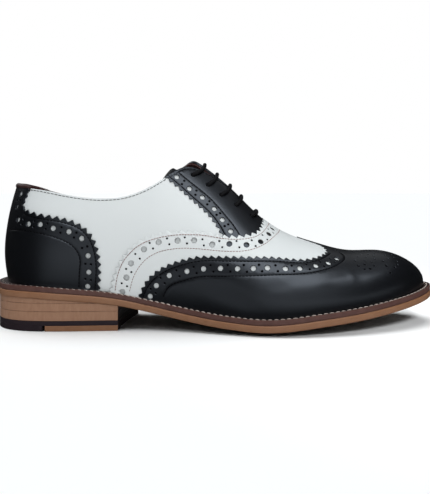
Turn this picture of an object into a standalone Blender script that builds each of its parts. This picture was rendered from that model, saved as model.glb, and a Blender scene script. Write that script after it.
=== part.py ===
"""Brogue oxford for the right foot, standing empty on its heel and forefoot.

Lengths in the tables are millimetres. Parts are modelled from the back of the heel (x = 0) to the
toe, with the little-toe side at -Y and the floor at z = 0. An empty carries them all, so that the
middle of the shoe's box stands on the origin.
"""

import math

import bmesh
import bpy
import numpy as np
from mathutils.geometry import delaunay_2d_cdt

MM = 0.001
GAP = 0.3  # between pieces that touch on the real shoe

# Driving dimensions
LENGTH = 306.0  # outsole, heel to toe
MIDDLE_Y = 0.8  # middle of the widest sole, off the heel's centre line
OUTSOLE = 4.5
WELT = 3.4
INSOLE = 4.0
UPPER_WALL = 2.0
TONGUE_WALL = 1.6
COUNTER_LEATHER = 0.9
FACING_LEATHER = 0.7
VAMP_LEATHER = 0.9
WING_LEATHER = 1.4
LACE_RADIUS = 1.35

# Outsole bottom on the centre line: the heel seat, arch, ball and toe spring
SOLE_PROFILE_COLUMNS = ("from_heel", "height")
SOLE_PROFILE = (
    (0, 21.5), (25, 22.0), (51, 20.4), (88, 16.6), (117, 10.4), (143, 4.7), (156, 2.1), (169, 0.1),
    (181, -1.0), (194, -1.0), (206, 0.0), (220, 1.8), (240, 4.5), (269, 9.8), (286, 13.6), (306, 18.8),
)
SOLE_CAMBER = 4.5  # how far the forefoot's edges stand above its middle
CAMBER_START, CAMBER_FULL = 105.0, 165.0

# Outsole seen from above: half its width, and how far its middle swings to the big-toe side
SOLE_OUTLINE_COLUMNS = ("from_heel", "half", "swing")
SOLE_OUTLINE = (
    (0, 0, 0), (12, 25.3, 0), (40, 33, 0), (75, 31, -0.5), (110, 29.5, -2), (150, 38.5, -2.5),
    (190, 49.5, -1), (213, 51, 1), (245, 46.5, 3), (272, 37, 4.5), (292, 24.5, 5), (306, 0, 5),
)
SOLE_SPAN = (0.0, LENGTH)

# Upper, a row for each cross-section of the last: half width and swing at the feather edge, how far
# the wall flares and how high it stays steep, half the flat of the crown, crest above the feather
# edge, and how far the crest leans to the big-toe side
SECTION_COLUMNS = ("from_heel", "half", "swing", "flare", "steep", "crown", "height", "lean")
SECTIONS = (
    (8.5, 0, 0, 0, 30, 0, 112, 0),
    (14, 17, 0, 2.5, 30, 14, 112, 0),
    (35, 29, 0, 5.5, 29, 26, 112, 0),
    (70, 28.5, -0.5, 5.5, 32, 26, 110, 0),
    (105, 27, -1.5, 6, 38, 22, 108, 1),
    (140, 31.5, -2, 7, 44, 19, 97.5, 3),
    (165, 38, -2, 6.5, 40, 22, 81.3, 4),
    (185, 43.5, -1, 6, 34, 27, 63, 5),
    (205, 46, 0.5, 5.5, 27, 30, 48.7, 5),
    (225, 45, 2, 5, 22, 30, 39.4, 4.5),
    (248, 40.5, 3.2, 4.5, 19, 28, 31.2, 4.5),
    (270, 33, 4.3, 4, 17, 24, 27.8, 4.8),
    (290, 19, 5, 2.5, 12.5, 15, 18, 5),
    (300.3, 0, 5, 0, 0, 0, 0, 5),
)
UPPER_SPAN = (8.5, 300.3)

# Curve of the heel's back, seen from the side
BACK_COLUMNS = ("height", "from_heel")
BACK = (
    (30, 8.8), (40, 7.1), (50, 6.3), (64, 7.2), (81, 10.2), (98, 14.9), (115, 20.5), (145, 31.5),
)

# Edges drawn on the upper: from_heel is the station of the section, and rise the share of the way
# up that section, 0 at the feather edge and 1 at the crest
EDGE_COLUMNS = ("from_heel", "rise")
TOPLINE_LATERAL = (
    (8.5, 0.59), (14, 0.568), (24.5, 0.531), (40, 0.511), (54.5, 0.5), (68.5, 0.495), (78.5, 0.5),
    (89, 0.527), (101.5, 0.59), (114.5, 0.69),
)
TOPLINE_MEDIAL = (
    (8.5, 0.59), (14, 0.568), (24.5, 0.53), (40, 0.501), (54.5, 0.482), (68.5, 0.474), (78.5, 0.479),
    (89, 0.507), (101.5, 0.576), (114.5, 0.685),
)
TOPLINE_LATERAL_END = ((118, 0.725), (122.3, 0.768), (126.8, 0.815), (131.3, 0.853), (136.8, 0.883))
TOPLINE_MEDIAL_END = ((118, 0.732), (122.3, 0.783), (127, 0.84), (131, 0.89), (134, 0.934), (138, 0.972))
THROAT_LATERAL = ((142, 0.9), (150, 0.918), (165, 0.942), (182, 0.968))
THROAT_MEDIAL = ((143, 0.985), (150, 0.983), (165, 0.98), (182, 0.977))
THROAT_END = 185.0
COUNTER_EDGE = (
    (76, 0.012), (78, 0.13), (75, 0.26), (70.5, 0.315), (63, 0.355), (52.5, 0.376), (33, 0.392), (25, 0.412),
)
BACK_STRIP_EDGE = ((22.8, 0.43), (23.6, 0.48), (25, 0.53))
FACING_EDGE = ((118, 0.725), (127.7, 0.69), (136.8, 0.65), (145, 0.615), (151.4, 0.575), (158.5, 0.485))
VAMP_EDGE = (
    (83, 0), (87.2, 0.11), (93.8, 0.225), (102, 0.315), (110, 0.365), (122.3, 0.415), (135, 0.45),
    (146.8, 0.476), (158.5, 0.49), (169.7, 0.525), (177, 0.61), (185, 0.8), (190, 1),
)
WING_EDGE = (
    (102, 0.012), (106.5, 0.08), (114.4, 0.165), (123.2, 0.225), (134, 0.28), (144, 0.32), (156, 0.352),
    (168, 0.385), (180.5, 0.425), (193, 0.46), (213, 0.495), (223.5, 0.575), (229.5, 0.685),
)
WING_PEAK = ((224.4, 0.8), (219, 0.89), (212, 1))

# Tongue: half its width in rise along its length, and how far its free top sinks back into the collar
TONGUE_COLUMNS = ("from_heel", "half_rise", "sink")
TONGUE = (
    (122.5, 0.11, 13), (127.5, 0.175, 10.6), (132, 0.185, 9.2), (140, 0.188, 4.3), (145, 0.19, 1.6),
    (150, 0.188, 0.2), (165, 0.18, 0), (185, 0.17, 0), (200, 0.15, 0),
)
TONGUE_STEPS = (12, 8)  # along it and across

# Laces: a bar between each pair of eyelets, square to the sloping throat, so its middle lies further forward
EYELET_COLUMNS = ("from_heel", "rise", "forward")
EYELETS = (
    (136.8, 0.82, 7.0), (147.6, 0.807, 5.3), (156.9, 0.79, 5.5), (167.1, 0.785, 3.3), (177.8, 0.795, 3.5),
)
BAR_POINTS = 13

# Heel: the heights at which its layers meet, and its front face, the breast
HEEL_INSET = 1.0
BREAST_LATERAL, BREAST_MEDIAL = 89.0, 95.0
BREAST_HOLLOW = 2.0
TOP_PIECE_HEIGHT = 4.2
RUBBER_HEIGHT = 7.5
LIFT_3_HEIGHT = 13.4
LIFT_2_HEIGHT = 18.6
RUBBER_CORNER = 39.3  # the rubber is full height behind this line
LIFT_1_END = 64.0  # the top lift is a wedge, too thin to cut past this line
BEND_START = 60.0  # from here the layers of a lift turn towards the hollow breast

# Rims and clearances
WELT_INNER = 3.0
INSOLE_CLEAR = 0.4
FEATHER_CLEAR = 0.2
FEATHER = OUTSOLE + WELT + 2 * GAP + FEATHER_CLEAR
PANEL_CLEAR = 0.45  # drawn in all round from a panel's edges
THROAT_RIM = 0.5  # the facings meet this far in front of the throat's end
LACE_CLEAR = 0.2

# Fineness of the meshes
STATIONS = 37
ROWS = 9
SOLE_STATIONS = 47
SOLE_ACROSS = 6
INSOLE_STATIONS = 31
INSOLE_ACROSS = 4
WEDGE_STATIONS = 15
HEEL_POINTS = 12
BREAST_POINTS = 6
SECTION_SAMPLES = 64
EDGE_PIECES = {"topline": 40, "throat": 14, "counter": 10, "facing": 7, "vamp": 20, "wing": 18, "peak": 4}
GIRTH = 90.0  # a usual length of one side of a section, for gaps drawn in rise
BACK_FADE = 4  # how fast the curve of the heel's back dies out along the shoe
LEAST_HALF = 1.0  # half width that the sole's ends count as
NEAR = 1.0  # a corner nearer than this to the next is left out
SHARP_ANGLE = 40.0
MERGE = 0.02  # points this close are one
SLIVER = 0.005  # thinner faces are dropped
FLAT_TOLERANCE = 1e-4

COLOURS = {
    "white_leather": ((0.70, 0.72, 0.74), 0.35),
    "black_leather": ((0.012, 0.013, 0.017), 0.28),
    "lining": ((0.10, 0.035, 0.03), 0.6),
    "outsole": ((0.24, 0.12, 0.06), 0.5),
    "welt": ((0.055, 0.025, 0.02), 0.5),
    "lift": ((0.26, 0.14, 0.075), 0.5),
    "rubber": ((0.03, 0.02, 0.024), 0.7),
    "lace": ((0.01, 0.01, 0.012), 0.6),
}


def spline(places, values, start="even", end="even"):
    """Cubic curve through a table. An even end is mirrored there, so it is level; an odd end turns over."""
    places = np.asarray(places, float)
    values = np.asarray(values, float)
    ghosts = min(4, len(places) - 1)
    before = 2 * places[0] - places[ghosts:0:-1]
    after = 2 * places[-1] - places[-2:-2 - ghosts:-1]
    low = values[ghosts:0:-1]
    high = values[-2:-2 - ghosts:-1]
    if start == "odd":
        low = 2 * values[0] - low
    if end == "odd":
        high = 2 * values[-1] - high
    x = np.concatenate([before, places, after])
    y = np.concatenate([low, values, high])
    step = np.diff(x)
    slope = np.diff(y) / step
    matrix = np.eye(len(x))
    right = np.zeros(len(x))
    for row in range(1, len(x) - 1):
        matrix[row, row - 1] = step[row - 1]
        matrix[row, row] = 2 * (step[row - 1] + step[row])
        matrix[row, row + 1] = step[row]
        right[row] = 6 * (slope[row] - slope[row - 1])
    bend = np.linalg.solve(matrix, right)

    def value(at):
        at = np.asarray(at, float)
        cell = np.clip(np.searchsorted(x, at) - 1, 0, len(x) - 2)
        width = step[cell]
        left = (x[cell + 1] - at) / width
        rest = (at - x[cell]) / width
        curve = (left**3 - left) * bend[cell] + (rest**3 - rest) * bend[cell + 1]
        return left * y[cell] + rest * y[cell + 1] + curve * width**2 / 6

    return value


def columns(names, rows):
    return dict(zip(names, np.array(rows, float).T))


def turn_at(from_heel, span):
    """Angle from 0 at the heel to pi at the toe, which makes the ends of a shape round."""
    share = (np.asarray(from_heel, float) - span[0]) / (span[1] - span[0])
    return np.arccos(np.clip(1 - 2 * share, -1, 1))


def place_at(turn, span):
    return span[0] + (span[1] - span[0]) * (1 - np.cos(turn)) / 2


PROFILE = columns(SOLE_PROFILE_COLUMNS, SOLE_PROFILE)
OUTLINE = columns(SOLE_OUTLINE_COLUMNS, SOLE_OUTLINE)
SECTION = columns(SECTION_COLUMNS, SECTIONS)
HEEL_BACK = columns(BACK_COLUMNS, BACK)

OUTLINE_TURNS = turn_at(OUTLINE["from_heel"], SOLE_SPAN)
SECTION_TURNS = turn_at(SECTION["from_heel"], UPPER_SPAN)
SECTION_ENDS = {
    "half": ("odd", "odd"),
    "swing": ("even", "even"),
    "flare": ("odd", "odd"),
    "steep": ("even", "odd"),
    "crown": ("odd", "odd"),
    "height": ("even", "odd"),
    "lean": ("even", "even"),
}

sole_level = spline(PROFILE["from_heel"], PROFILE["height"], "even", "odd")
sole_half = spline(OUTLINE_TURNS, OUTLINE["half"], "odd", "odd")
sole_swing = spline(OUTLINE_TURNS, OUTLINE["swing"])
heel_back = spline(HEEL_BACK["height"], HEEL_BACK["from_heel"], "odd", "odd")
section = {name: spline(SECTION_TURNS, SECTION[name], *ends) for name, ends in SECTION_ENDS.items()}


def sole_bottom(from_heel, y):
    """Underside of the outsole, flat on the floor where the ball would sink below it."""
    turn = turn_at(from_heel, SOLE_SPAN)
    half = np.maximum(sole_half(turn), LEAST_HALF)
    ramp = np.clip((from_heel - CAMBER_START) / (CAMBER_FULL - CAMBER_START), 0, 1)
    widest = OUTLINE["half"].max()
    share = np.clip(np.abs(y - sole_swing(turn)) / half, 0, 1)
    camber = SOLE_CAMBER * ramp * np.clip(half / widest, 0, 1) ** 2 * share**2
    return np.maximum(sole_level(from_heel) + camber, 0)


def last_section(turn, side):
    """Points up one side of a section, from the feather edge to the crest; side is -1 lateral, 1 medial."""
    size = {name: float(curve(turn)) for name, curve in section.items()}
    from_heel = place_at(turn, UPPER_SPAN)
    feather = {s: float(sole_bottom(from_heel, size["swing"] + s * size["half"])) + FEATHER for s in (-1, 1)}
    crest = (feather[-1] + feather[1]) / 2 + size["height"]
    corners = np.array([
        (size["swing"] + side * size["half"], feather[side]),
        (size["swing"] + side * (size["half"] + size["flare"]), feather[side] + size["steep"]),
        (size["lean"] + side * size["crown"], crest),
        (size["lean"], crest),
    ])
    t = np.linspace(0, 1, SECTION_SAMPLES)[:, None]
    weights = np.hstack([(1 - t) ** 3, 3 * t * (1 - t) ** 2, 3 * t**2 * (1 - t), t**3])
    y, z = (weights @ corners).T
    fade = ((1 + math.cos(turn)) / 2) ** BACK_FADE
    x = from_heel + (heel_back(z) - UPPER_SPAN[0]) * fade
    return np.column_stack([x, y, z])


def last_point(turn, rise, side):
    points = last_section(turn, side)
    along = np.concatenate([[0], np.cumsum(np.linalg.norm(np.diff(points, axis=0), axis=1))])
    along = along / max(along[-1], 1e-9)
    return [float(np.interp(rise, along, points[:, axis])) for axis in range(3)]


def last_lattice():
    """Nodes of the last and their outward normals: stations along it, rows from lateral over to medial."""
    nodes = np.empty((STATIONS, 2 * ROWS + 1, 3))
    for station, turn in enumerate(np.linspace(0, math.pi, STATIONS)):
        for row in range(ROWS + 1):
            nodes[station, row] = last_point(turn, row / ROWS, -1)
            nodes[station, 2 * ROWS - row] = last_point(turn, row / ROWS, 1)
    wrapped = np.concatenate([nodes[1:2, ::-1], nodes, nodes[-2:-1, ::-1]])
    along = (wrapped[2:] - wrapped[:-2]) / 2
    across = np.gradient(nodes, axis=1)
    normals = np.cross(along, across)
    normals[-1] = (1, 0, 0)
    normals[0, ROWS] = (0, 0, 1)
    normals /= np.linalg.norm(normals, axis=2, keepdims=True)
    return nodes, normals


NODES, NORMALS = last_lattice()


def lattice_along(from_heel):
    """The lattice coordinate along the upper of a section's station."""
    return float(turn_at(from_heel, UPPER_SPAN)) / math.pi * (STATIONS - 1)


def on_last(along, across, lift):
    """The point at lattice coordinates, lifted off the facets of the last."""
    station = min(int(along), STATIONS - 2)
    row = min(int(across), 2 * ROWS - 1)
    a = along - station
    b = across - row
    if row < ROWS:
        weights = {(0, 0): 1 - max(a, b), (1, 1): min(a, b), (1, 0): max(a - b, 0), (0, 1): max(b - a, 0)}
    else:
        weights = {
            (0, 0): max(1 - a - b, 0),
            (1, 1): max(a + b - 1, 0),
            (1, 0): a - max(a + b - 1, 0),
            (0, 1): b - max(a + b - 1, 0),
        }
    point = np.zeros(3)
    for (i, j), weight in weights.items():
        point += weight * (NODES[station + i, row + j] + lift * NORMALS[station + i, row + j])
    return point


def lattice_edges():
    """Lattice nodes and the edges of its triangles, as flat points and index pairs."""
    width = 2 * ROWS + 1
    points = [(float(i), float(j)) for i in range(STATIONS) for j in range(width)]
    edges = []
    for i in range(STATIONS):
        for j in range(width):
            here = i * width + j
            if j + 1 < width:
                edges.append((here, here + 1))
            if i + 1 < STATIONS:
                edges.append((here, here + width))
            if i + 1 < STATIONS and j + 1 < width:
                edges.append((here, here + width + 1) if j < ROWS else (here + 1, here + width))
    return points, edges


def inside(point, outline):
    x, y = point
    odd = False
    for (x1, y1), (x2, y2) in zip(outline, outline[1:] + outline[:1]):
        if (y1 > y) != (y2 > y) and x < x1 + (y - y1) * (x2 - x1) / (y2 - y1):
            odd = not odd
    return odd


def smooth(rows, kind):
    """Points on a smooth curve through an edge's rows."""
    edge = columns(EDGE_COLUMNS, rows)
    step = np.hypot(np.diff(edge["from_heel"]), np.diff(edge["rise"]) * GIRTH)
    along = np.concatenate([[0], np.cumsum(step)])
    curves = [spline(along, edge[name], "odd", "odd") for name in EDGE_COLUMNS]
    places = np.linspace(0, along[-1], EDGE_PIECES[kind] + 1)
    return [tuple(float(curve(at)) for curve in curves) for at in places]


def pulled_in(outline, distance):
    """An outline of (from_heel, across) with every corner moved inwards."""
    flat = np.array(outline) * (1, GIRTH)
    before = flat - np.roll(flat, 1, axis=0)
    after = np.roll(flat, -1, axis=0) - flat
    before /= np.linalg.norm(before, axis=1, keepdims=True)
    after /= np.linalg.norm(after, axis=1, keepdims=True)
    way = before + after
    way /= np.linalg.norm(way, axis=1, keepdims=True)
    x, y = flat.T
    turning = np.sign(np.sum(x * np.roll(y, -1) - np.roll(x, -1) * y))
    inward = np.column_stack([-way[:, 1], way[:, 0]]) * turning
    return [tuple(p) for p in (flat + inward * distance) / (1, GIRTH)]


def mirrored(edge):
    """The same edge on the medial side, where the share of the way is counted on past the crest."""
    return [(from_heel, 2 - rise) for from_heel, rise in edge]


def material(name):
    found = bpy.data.materials.get(name)
    if found:
        return found
    colour, roughness = COLOURS[name]
    made = bpy.data.materials.new(name)
    made.use_nodes = True
    shader = made.node_tree.nodes["Principled BSDF"]
    shader.inputs["Base Color"].default_value = (*colour, 1)
    shader.inputs["Roughness"].default_value = roughness
    shader.inputs["Metallic"].default_value = 0
    return made


def add_object(name, data, material_name):
    made = bpy.data.objects.new(name, data)
    data.materials.append(material(material_name))
    SHOE.objects.link(made)
    made.parent = ROOT
    if isinstance(data, bpy.types.Mesh):
        data.shade_smooth()
        data.set_sharp_from_angle(angle=math.radians(SHARP_ANGLE))
    return made


def mesh_from(bm, name):
    bmesh.ops.remove_doubles(bm, verts=bm.verts[:], dist=MERGE * MM)
    bmesh.ops.dissolve_degenerate(bm, edges=bm.edges[:], dist=SLIVER * MM)
    mesh = bpy.data.meshes.new(name)
    bm.to_mesh(mesh)
    bm.free()
    return mesh


def add_leather(name, outlines, lift, wall, material_name):
    """A shell cut out of the last's facets: lift is its inner face, and a negative wall goes inwards."""
    bm = bmesh.new()
    for outline in outlines:
        edge = []
        for from_heel, across in outline:
            edge.append((lattice_along(from_heel), min(max(across, 0), 2) * ROWS))
        points, edges = lattice_edges()
        first = len(points)
        points += edge
        edges += [(first + k, first + (k + 1) % len(edge)) for k in range(len(edge))]
        flat, _, faces = delaunay_2d_cdt(points, edges, [], 0, FLAT_TOLERANCE)[:3]
        verts = {}
        for face in faces:
            middle = [sum(flat[k][axis] for k in face) / len(face) for axis in range(2)]
            if not inside(middle, edge):
                continue
            for k in face:
                if k not in verts:
                    verts[k] = bm.verts.new(on_last(flat[k][0], flat[k][1], lift) * MM)
            bm.faces.new([verts[k] for k in face])
    made = add_object(name, mesh_from(bm, name), material_name)
    shell = made.modifiers.new("wall", "SOLIDIFY")
    shell.thickness = abs(wall) * MM
    shell.offset = 1 if wall > 0 else -1
    return made


def add_upper():
    """The hollow upper: open at the collar and throat, and below, where the welt and insole close it."""
    lateral = smooth(TOPLINE_LATERAL + TOPLINE_LATERAL_END + THROAT_LATERAL, "topline")
    medial = mirrored(smooth(TOPLINE_MEDIAL + TOPLINE_MEDIAL_END + THROAT_MEDIAL, "topline"))
    end = [(THROAT_END, (lateral[-1][1] + medial[-1][1]) / 2)]
    rim = lateral + end + medial[::-1]
    feather = [(UPPER_SPAN[0], 2), (UPPER_SPAN[1], 2), (UPPER_SPAN[1], 0), (UPPER_SPAN[0], 0)]
    add_leather("upper", [rim + feather], 0, -UPPER_WALL, "white_leather")


def add_counter():
    edge = smooth(COUNTER_EDGE, "counter") + list(BACK_STRIP_EDGE)
    top = [row for row in TOPLINE_LATERAL if row[0] < BACK_STRIP_EDGE[-1][0]]
    back = [(UPPER_SPAN[0], COUNTER_EDGE[0][1])]
    lateral = edge + top[::-1] + back
    add_leather("counter", [lateral, mirrored(lateral)], GAP, COUNTER_LEATHER, "black_leather")


def add_facings():
    front = [row for row in smooth(VAMP_EDGE, "vamp") if row[0] > FACING_EDGE[-1][0] + NEAR]
    ends = {
        "facing_lateral": (TOPLINE_LATERAL_END, THROAT_LATERAL),
        "facing_medial": (TOPLINE_MEDIAL_END, THROAT_MEDIAL),
    }
    for name, (top, throat) in ends.items():
        corner = [(THROAT_END + THROAT_RIM, 1)]
        outline = smooth(FACING_EDGE, "facing") + front + corner + smooth(top + throat, "throat")[:0:-1]
        outline = pulled_in(outline, PANEL_CLEAR)
        if name == "facing_medial":
            outline = mirrored(outline)
        add_leather(name, [outline], GAP, FACING_LEATHER, "black_leather")


def wing_line():
    return smooth(WING_EDGE, "wing") + smooth(WING_EDGE[-1:] + WING_PEAK, "peak")[1:]


def add_vamp():
    outer = smooth(VAMP_EDGE, "vamp")
    inner = wing_line()
    outline = outer + mirrored(outer)[-2::-1] + mirrored(inner) + inner[-2::-1]
    add_leather("vamp", [pulled_in(outline, PANEL_CLEAR)], GAP, VAMP_LEATHER, "white_leather")


def add_wing_cap():
    line = wing_line()
    low = WING_EDGE[0][1]
    toe = [(UPPER_SPAN[1], 2 - low), (UPPER_SPAN[1], low)]
    add_leather("wing_cap", [line + mirrored(line)[-2::-1] + toe], GAP, WING_LEATHER, "black_leather")


def add_tongue():
    """The tongue lies under the facings, and its free top sinks back towards the heel."""
    shape = columns(TONGUE_COLUMNS, TONGUE)
    half = spline(shape["from_heel"], shape["half_rise"], "odd", "odd")
    first, last = TONGUE[0][0], TONGUE[-1][0]
    seat = -(UPPER_WALL + 2 * GAP + TONGUE_WALL)
    bm = bmesh.new()
    rows = []
    for from_heel in np.linspace(first, last, TONGUE_STEPS[0] + 1):
        along = lattice_along(from_heel)
        sink = float(np.interp(from_heel, shape["from_heel"], shape["sink"]))
        sunk = (on_last(along, ROWS, 0) - on_last(along, ROWS, 1)) * sink
        row = []
        for side in np.linspace(-1, 1, TONGUE_STEPS[1] + 1):
            across = (1 + side * float(half(from_heel))) * ROWS
            row.append(bm.verts.new((on_last(along, across, seat) + sunk) * MM))
        rows.append(row)
    for back, front in zip(rows, rows[1:]):
        for k in range(TONGUE_STEPS[1]):
            bm.faces.new([back[k], front[k], front[k + 1], back[k + 1]])
    made = add_object("tongue", mesh_from(bm, "tongue"), "black_leather")
    shell = made.modifiers.new("wall", "SOLIDIFY")
    shell.thickness = TONGUE_WALL * MM
    shell.offset = 1


def straight(from_heel, y):
    """The rows of a plate that isn't bent lie square across the shoe."""
    return from_heel


def slab(name, turns, edges, bottom, top, material_name, across, bent=straight):
    """A plate between two heights; edges gives, for a turn, its place and its two sides."""
    bm = bmesh.new()
    rows = []
    for turn in turns:
        from_heel, left, right = edges(turn)
        line = [(bent(from_heel, y), y) for y in np.linspace(left, right, across + 1)]
        rows.append([bm.verts.new([float(v) * MM for v in (x, y, bottom(x, y))]) for x, y in line])
    for back, front in zip(rows, rows[1:]):
        for k in range(across):
            bm.faces.new([back[k], back[k + 1], front[k + 1], front[k]])
    bmesh.ops.remove_doubles(bm, verts=bm.verts[:], dist=MERGE * MM)
    raised = bmesh.ops.extrude_face_region(bm, geom=bm.faces[:], use_keep_orig=True)
    for vert in raised["geom"]:
        if isinstance(vert, bmesh.types.BMVert):
            vert.co.z = float(top(vert.co.x / MM, vert.co.y / MM)) * MM
    bmesh.ops.recalc_face_normals(bm, faces=bm.faces[:])
    return add_object(name, mesh_from(bm, name), material_name)


def sole_side(turn, inset=0.0):
    """Place and both sides of the sole's outline, drawn in by an inset."""
    from_heel = place_at(turn, (SOLE_SPAN[0] + inset, SOLE_SPAN[1] - inset))
    half = max(float(sole_half(turn)) - inset * math.sin(turn) ** 0.5, 0)
    swing = float(sole_swing(turn))
    return from_heel, swing - half, swing + half


def feather_side(turn, inset):
    """Place and both sides of the upper's feather edge, drawn in by an inset."""
    from_heel = place_at(turn, (UPPER_SPAN[0] + inset, UPPER_SPAN[1] - inset))
    half = max(float(section["half"](turn)) - inset * math.sin(turn) ** 0.5, 0)
    swing = float(section["swing"](turn))
    return from_heel, swing - half, swing + half


def add_outsole():
    turns = np.linspace(0, math.pi, SOLE_STATIONS)

    def top(x, y):
        return sole_bottom(x, y) + OUTSOLE

    slab("outsole", turns, sole_side, sole_bottom, top, "outsole", SOLE_ACROSS)


def add_insole():
    turns = np.linspace(0, math.pi, INSOLE_STATIONS)
    low = OUTSOLE + 2 * GAP
    slab(
        "insole",
        turns,
        lambda turn: feather_side(turn, WELT_INNER + INSOLE_CLEAR),
        lambda x, y: sole_bottom(x, y) + low,
        lambda x, y: sole_bottom(x, y) + low + INSOLE,
        "lining",
        INSOLE_ACROSS,
    )


def add_welt():
    """A flat strip round the feather edge, between the upper and the outsole."""
    bm = bmesh.new()
    turns = np.linspace(0, math.pi, SOLE_STATIONS)
    loop = [(turn, 1) for turn in turns] + [(turn, 2) for turn in turns[-2:0:-1]]
    rings = []
    for turn, side in loop:
        ring = []
        for edge in (sole_side(turn, GAP), feather_side(turn, WELT_INNER)):
            low = float(sole_bottom(edge[0], edge[side])) + OUTSOLE + GAP
            ring += [(edge[0], edge[side], low), (edge[0], edge[side], low + WELT)]
        rings.append([bm.verts.new([float(v) * MM for v in point]) for point in ring])
    faces_round = ((0, 1), (1, 3), (3, 2), (2, 0))
    for here, there in zip(rings, rings[1:] + rings[:1]):
        for a, b in faces_round:
            bm.faces.new([here[a], here[b], there[b], there[a]])
    bmesh.ops.recalc_face_normals(bm, faces=bm.faces[:])
    add_object("welt", mesh_from(bm, "welt"), "welt")


def breast_line():
    """The heel's hollow front face, from the lateral to the medial side."""
    ends = []
    for from_heel, side in ((BREAST_LATERAL, -1), (BREAST_MEDIAL, 1)):
        turn = turn_at(from_heel, SOLE_SPAN)
        ends.append((from_heel, float(sole_swing(turn)) + side * (float(sole_half(turn)) - HEEL_INSET)))
    line = []
    for share in np.linspace(0, 1, BREAST_POINTS + 1):
        bow = BREAST_HOLLOW * 4 * share * (1 - share)
        x = ends[0][0] + (ends[1][0] - ends[0][0]) * share - bow
        line.append((x, ends[0][1] + (ends[1][1] - ends[0][1]) * share))
    return line


def heel_outline(start=0.0):
    """The heel seen from above, behind its breast and in front of a start line."""
    sides = {-1: [], 1: []}
    for side, end in ((-1, BREAST_LATERAL), (1, BREAST_MEDIAL)):
        first = float(turn_at(start, SOLE_SPAN))
        last = float(turn_at(end, SOLE_SPAN))
        for turn in np.linspace(first, last, HEEL_POINTS)[:-1]:
            from_heel, low, high = sole_side(turn, HEEL_INSET)
            sides[side].append((max(from_heel, start), low if side < 0 else high))
    medial = sides[1][1:] if start == 0 else sides[1]
    return sides[-1] + breast_line() + medial[::-1]


def add_lift(name, outline, low, high, material_name):
    """A flat layer: an outline extruded between two heights."""
    curve = bpy.data.curves.new(name, "CURVE")
    curve.dimensions = "2D"
    curve.fill_mode = "BOTH"
    curve.extrude = (high - low) / 2 * MM
    line = curve.splines.new("POLY")
    line.points.add(len(outline) - 1)
    for point, (x, y) in zip(line.points, outline):
        point.co = (x * MM, y * MM, 0, 1)
    line.use_cyclic_u = True
    made = add_object(name, curve, material_name)
    made.location.z = (low + high) / 2 * MM
    return made


def as_mesh(made):
    """A curve object turned into a mesh object of the same name, with its caps welded on."""
    bpy.context.view_layer.update()
    view = bpy.context.evaluated_depsgraph_get()
    mesh = bpy.data.meshes.new_from_object(made.evaluated_get(view))
    bm = bmesh.new()
    bm.from_mesh(mesh)
    bmesh.ops.remove_doubles(bm, verts=bm.verts[:], dist=MERGE * MM)
    bm.to_mesh(mesh)
    bm.free()
    name = made.name
    place = made.location.copy()
    bpy.data.objects.remove(made)
    solid = bpy.data.objects.new(name, mesh)
    SHOE.objects.link(solid)
    solid.parent = ROOT
    solid.location = place
    return solid


def add_heel():
    outline = heel_outline()
    add_lift("heel_top_piece", heel_outline(RUBBER_CORNER + GAP), 0, TOP_PIECE_HEIGHT - GAP, "lift")
    rubber = as_mesh(add_lift("heel_rubber", outline, 0, RUBBER_HEIGHT - GAP, "rubber"))
    add_lift("heel_lift_3", outline, RUBBER_HEIGHT, LIFT_3_HEIGHT - GAP, "lift")

    size = 2 * LENGTH
    bpy.ops.mesh.primitive_cube_add(size=1)
    cutter = bpy.context.object
    cutter.name = "top_piece_room"
    cutter.parent = ROOT
    cutter.scale = (size * MM, size * MM, size * MM)
    cutter.location = ((RUBBER_CORNER + size / 2) * MM, 0, (TOP_PIECE_HEIGHT - size / 2) * MM)
    cutter.hide_render = True
    cutter.display_type = "WIRE"
    for collection in list(cutter.users_collection):
        collection.objects.unlink(cutter)
    CUTTERS.objects.link(cutter)
    cut = rubber.modifiers.new("room for the top piece", "BOOLEAN")
    cut.operation = "DIFFERENCE"
    cut.object = cutter

    add_wedge("heel_lift_2", LIFT_3_HEIGHT, LIFT_2_HEIGHT - GAP, BREAST_LATERAL, towards_breast)
    add_wedge("heel_lift_1", LIFT_2_HEIGHT, math.inf, LIFT_1_END, straight)


def towards_breast(from_heel, y):
    """Where a lift's rows lie, once they turn to follow the hollow breast."""
    breast = np.array(breast_line())
    share = min(max((from_heel - BEND_START) / (BREAST_LATERAL - BEND_START), 0), 1)
    return from_heel + share * (float(np.interp(y, breast[:, 1], breast[:, 0])) - BREAST_LATERAL)


def add_wedge(name, low, high, end, bent):
    """A lift that reaches up to the sloping outsole, as far as it is thick enough to cut."""
    slab(
        name,
        np.linspace(0, float(turn_at(end, (HEEL_INSET, LENGTH - HEEL_INSET))), WEDGE_STATIONS),
        lambda turn: sole_side(turn, HEEL_INSET),
        lambda x, y: low,
        lambda x, y: min(high, float(sole_bottom(x, y)) - GAP),
        "lift",
        SOLE_ACROSS,
        bent,
    )


def add_laces():
    """Bars across the throat, lying on the facings with their ends at the eyelets."""
    lift = 2 * GAP + FACING_LEATHER + LACE_RADIUS + LACE_CLEAR
    for number, row in enumerate(EYELETS, 1):
        eyelet = dict(zip(EYELET_COLUMNS, row))
        curve = bpy.data.curves.new("lace_bar_%d" % number, "CURVE")
        curve.dimensions = "3D"
        curve.bevel_depth = LACE_RADIUS * MM
        curve.bevel_resolution = 2
        curve.use_fill_caps = True
        line = curve.splines.new("POLY")
        line.points.add(BAR_POINTS - 1)
        for point, share in zip(line.points, np.linspace(-1, 1, BAR_POINTS)):
            along = lattice_along(eyelet["from_heel"] + eyelet["forward"] * (1 - share**2))
            across = (1 + share * (1 - eyelet["rise"])) * ROWS
            point.co = (*(on_last(along, across, lift) * MM), 1)
        add_object(curve.name, curve, "lace")


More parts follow.
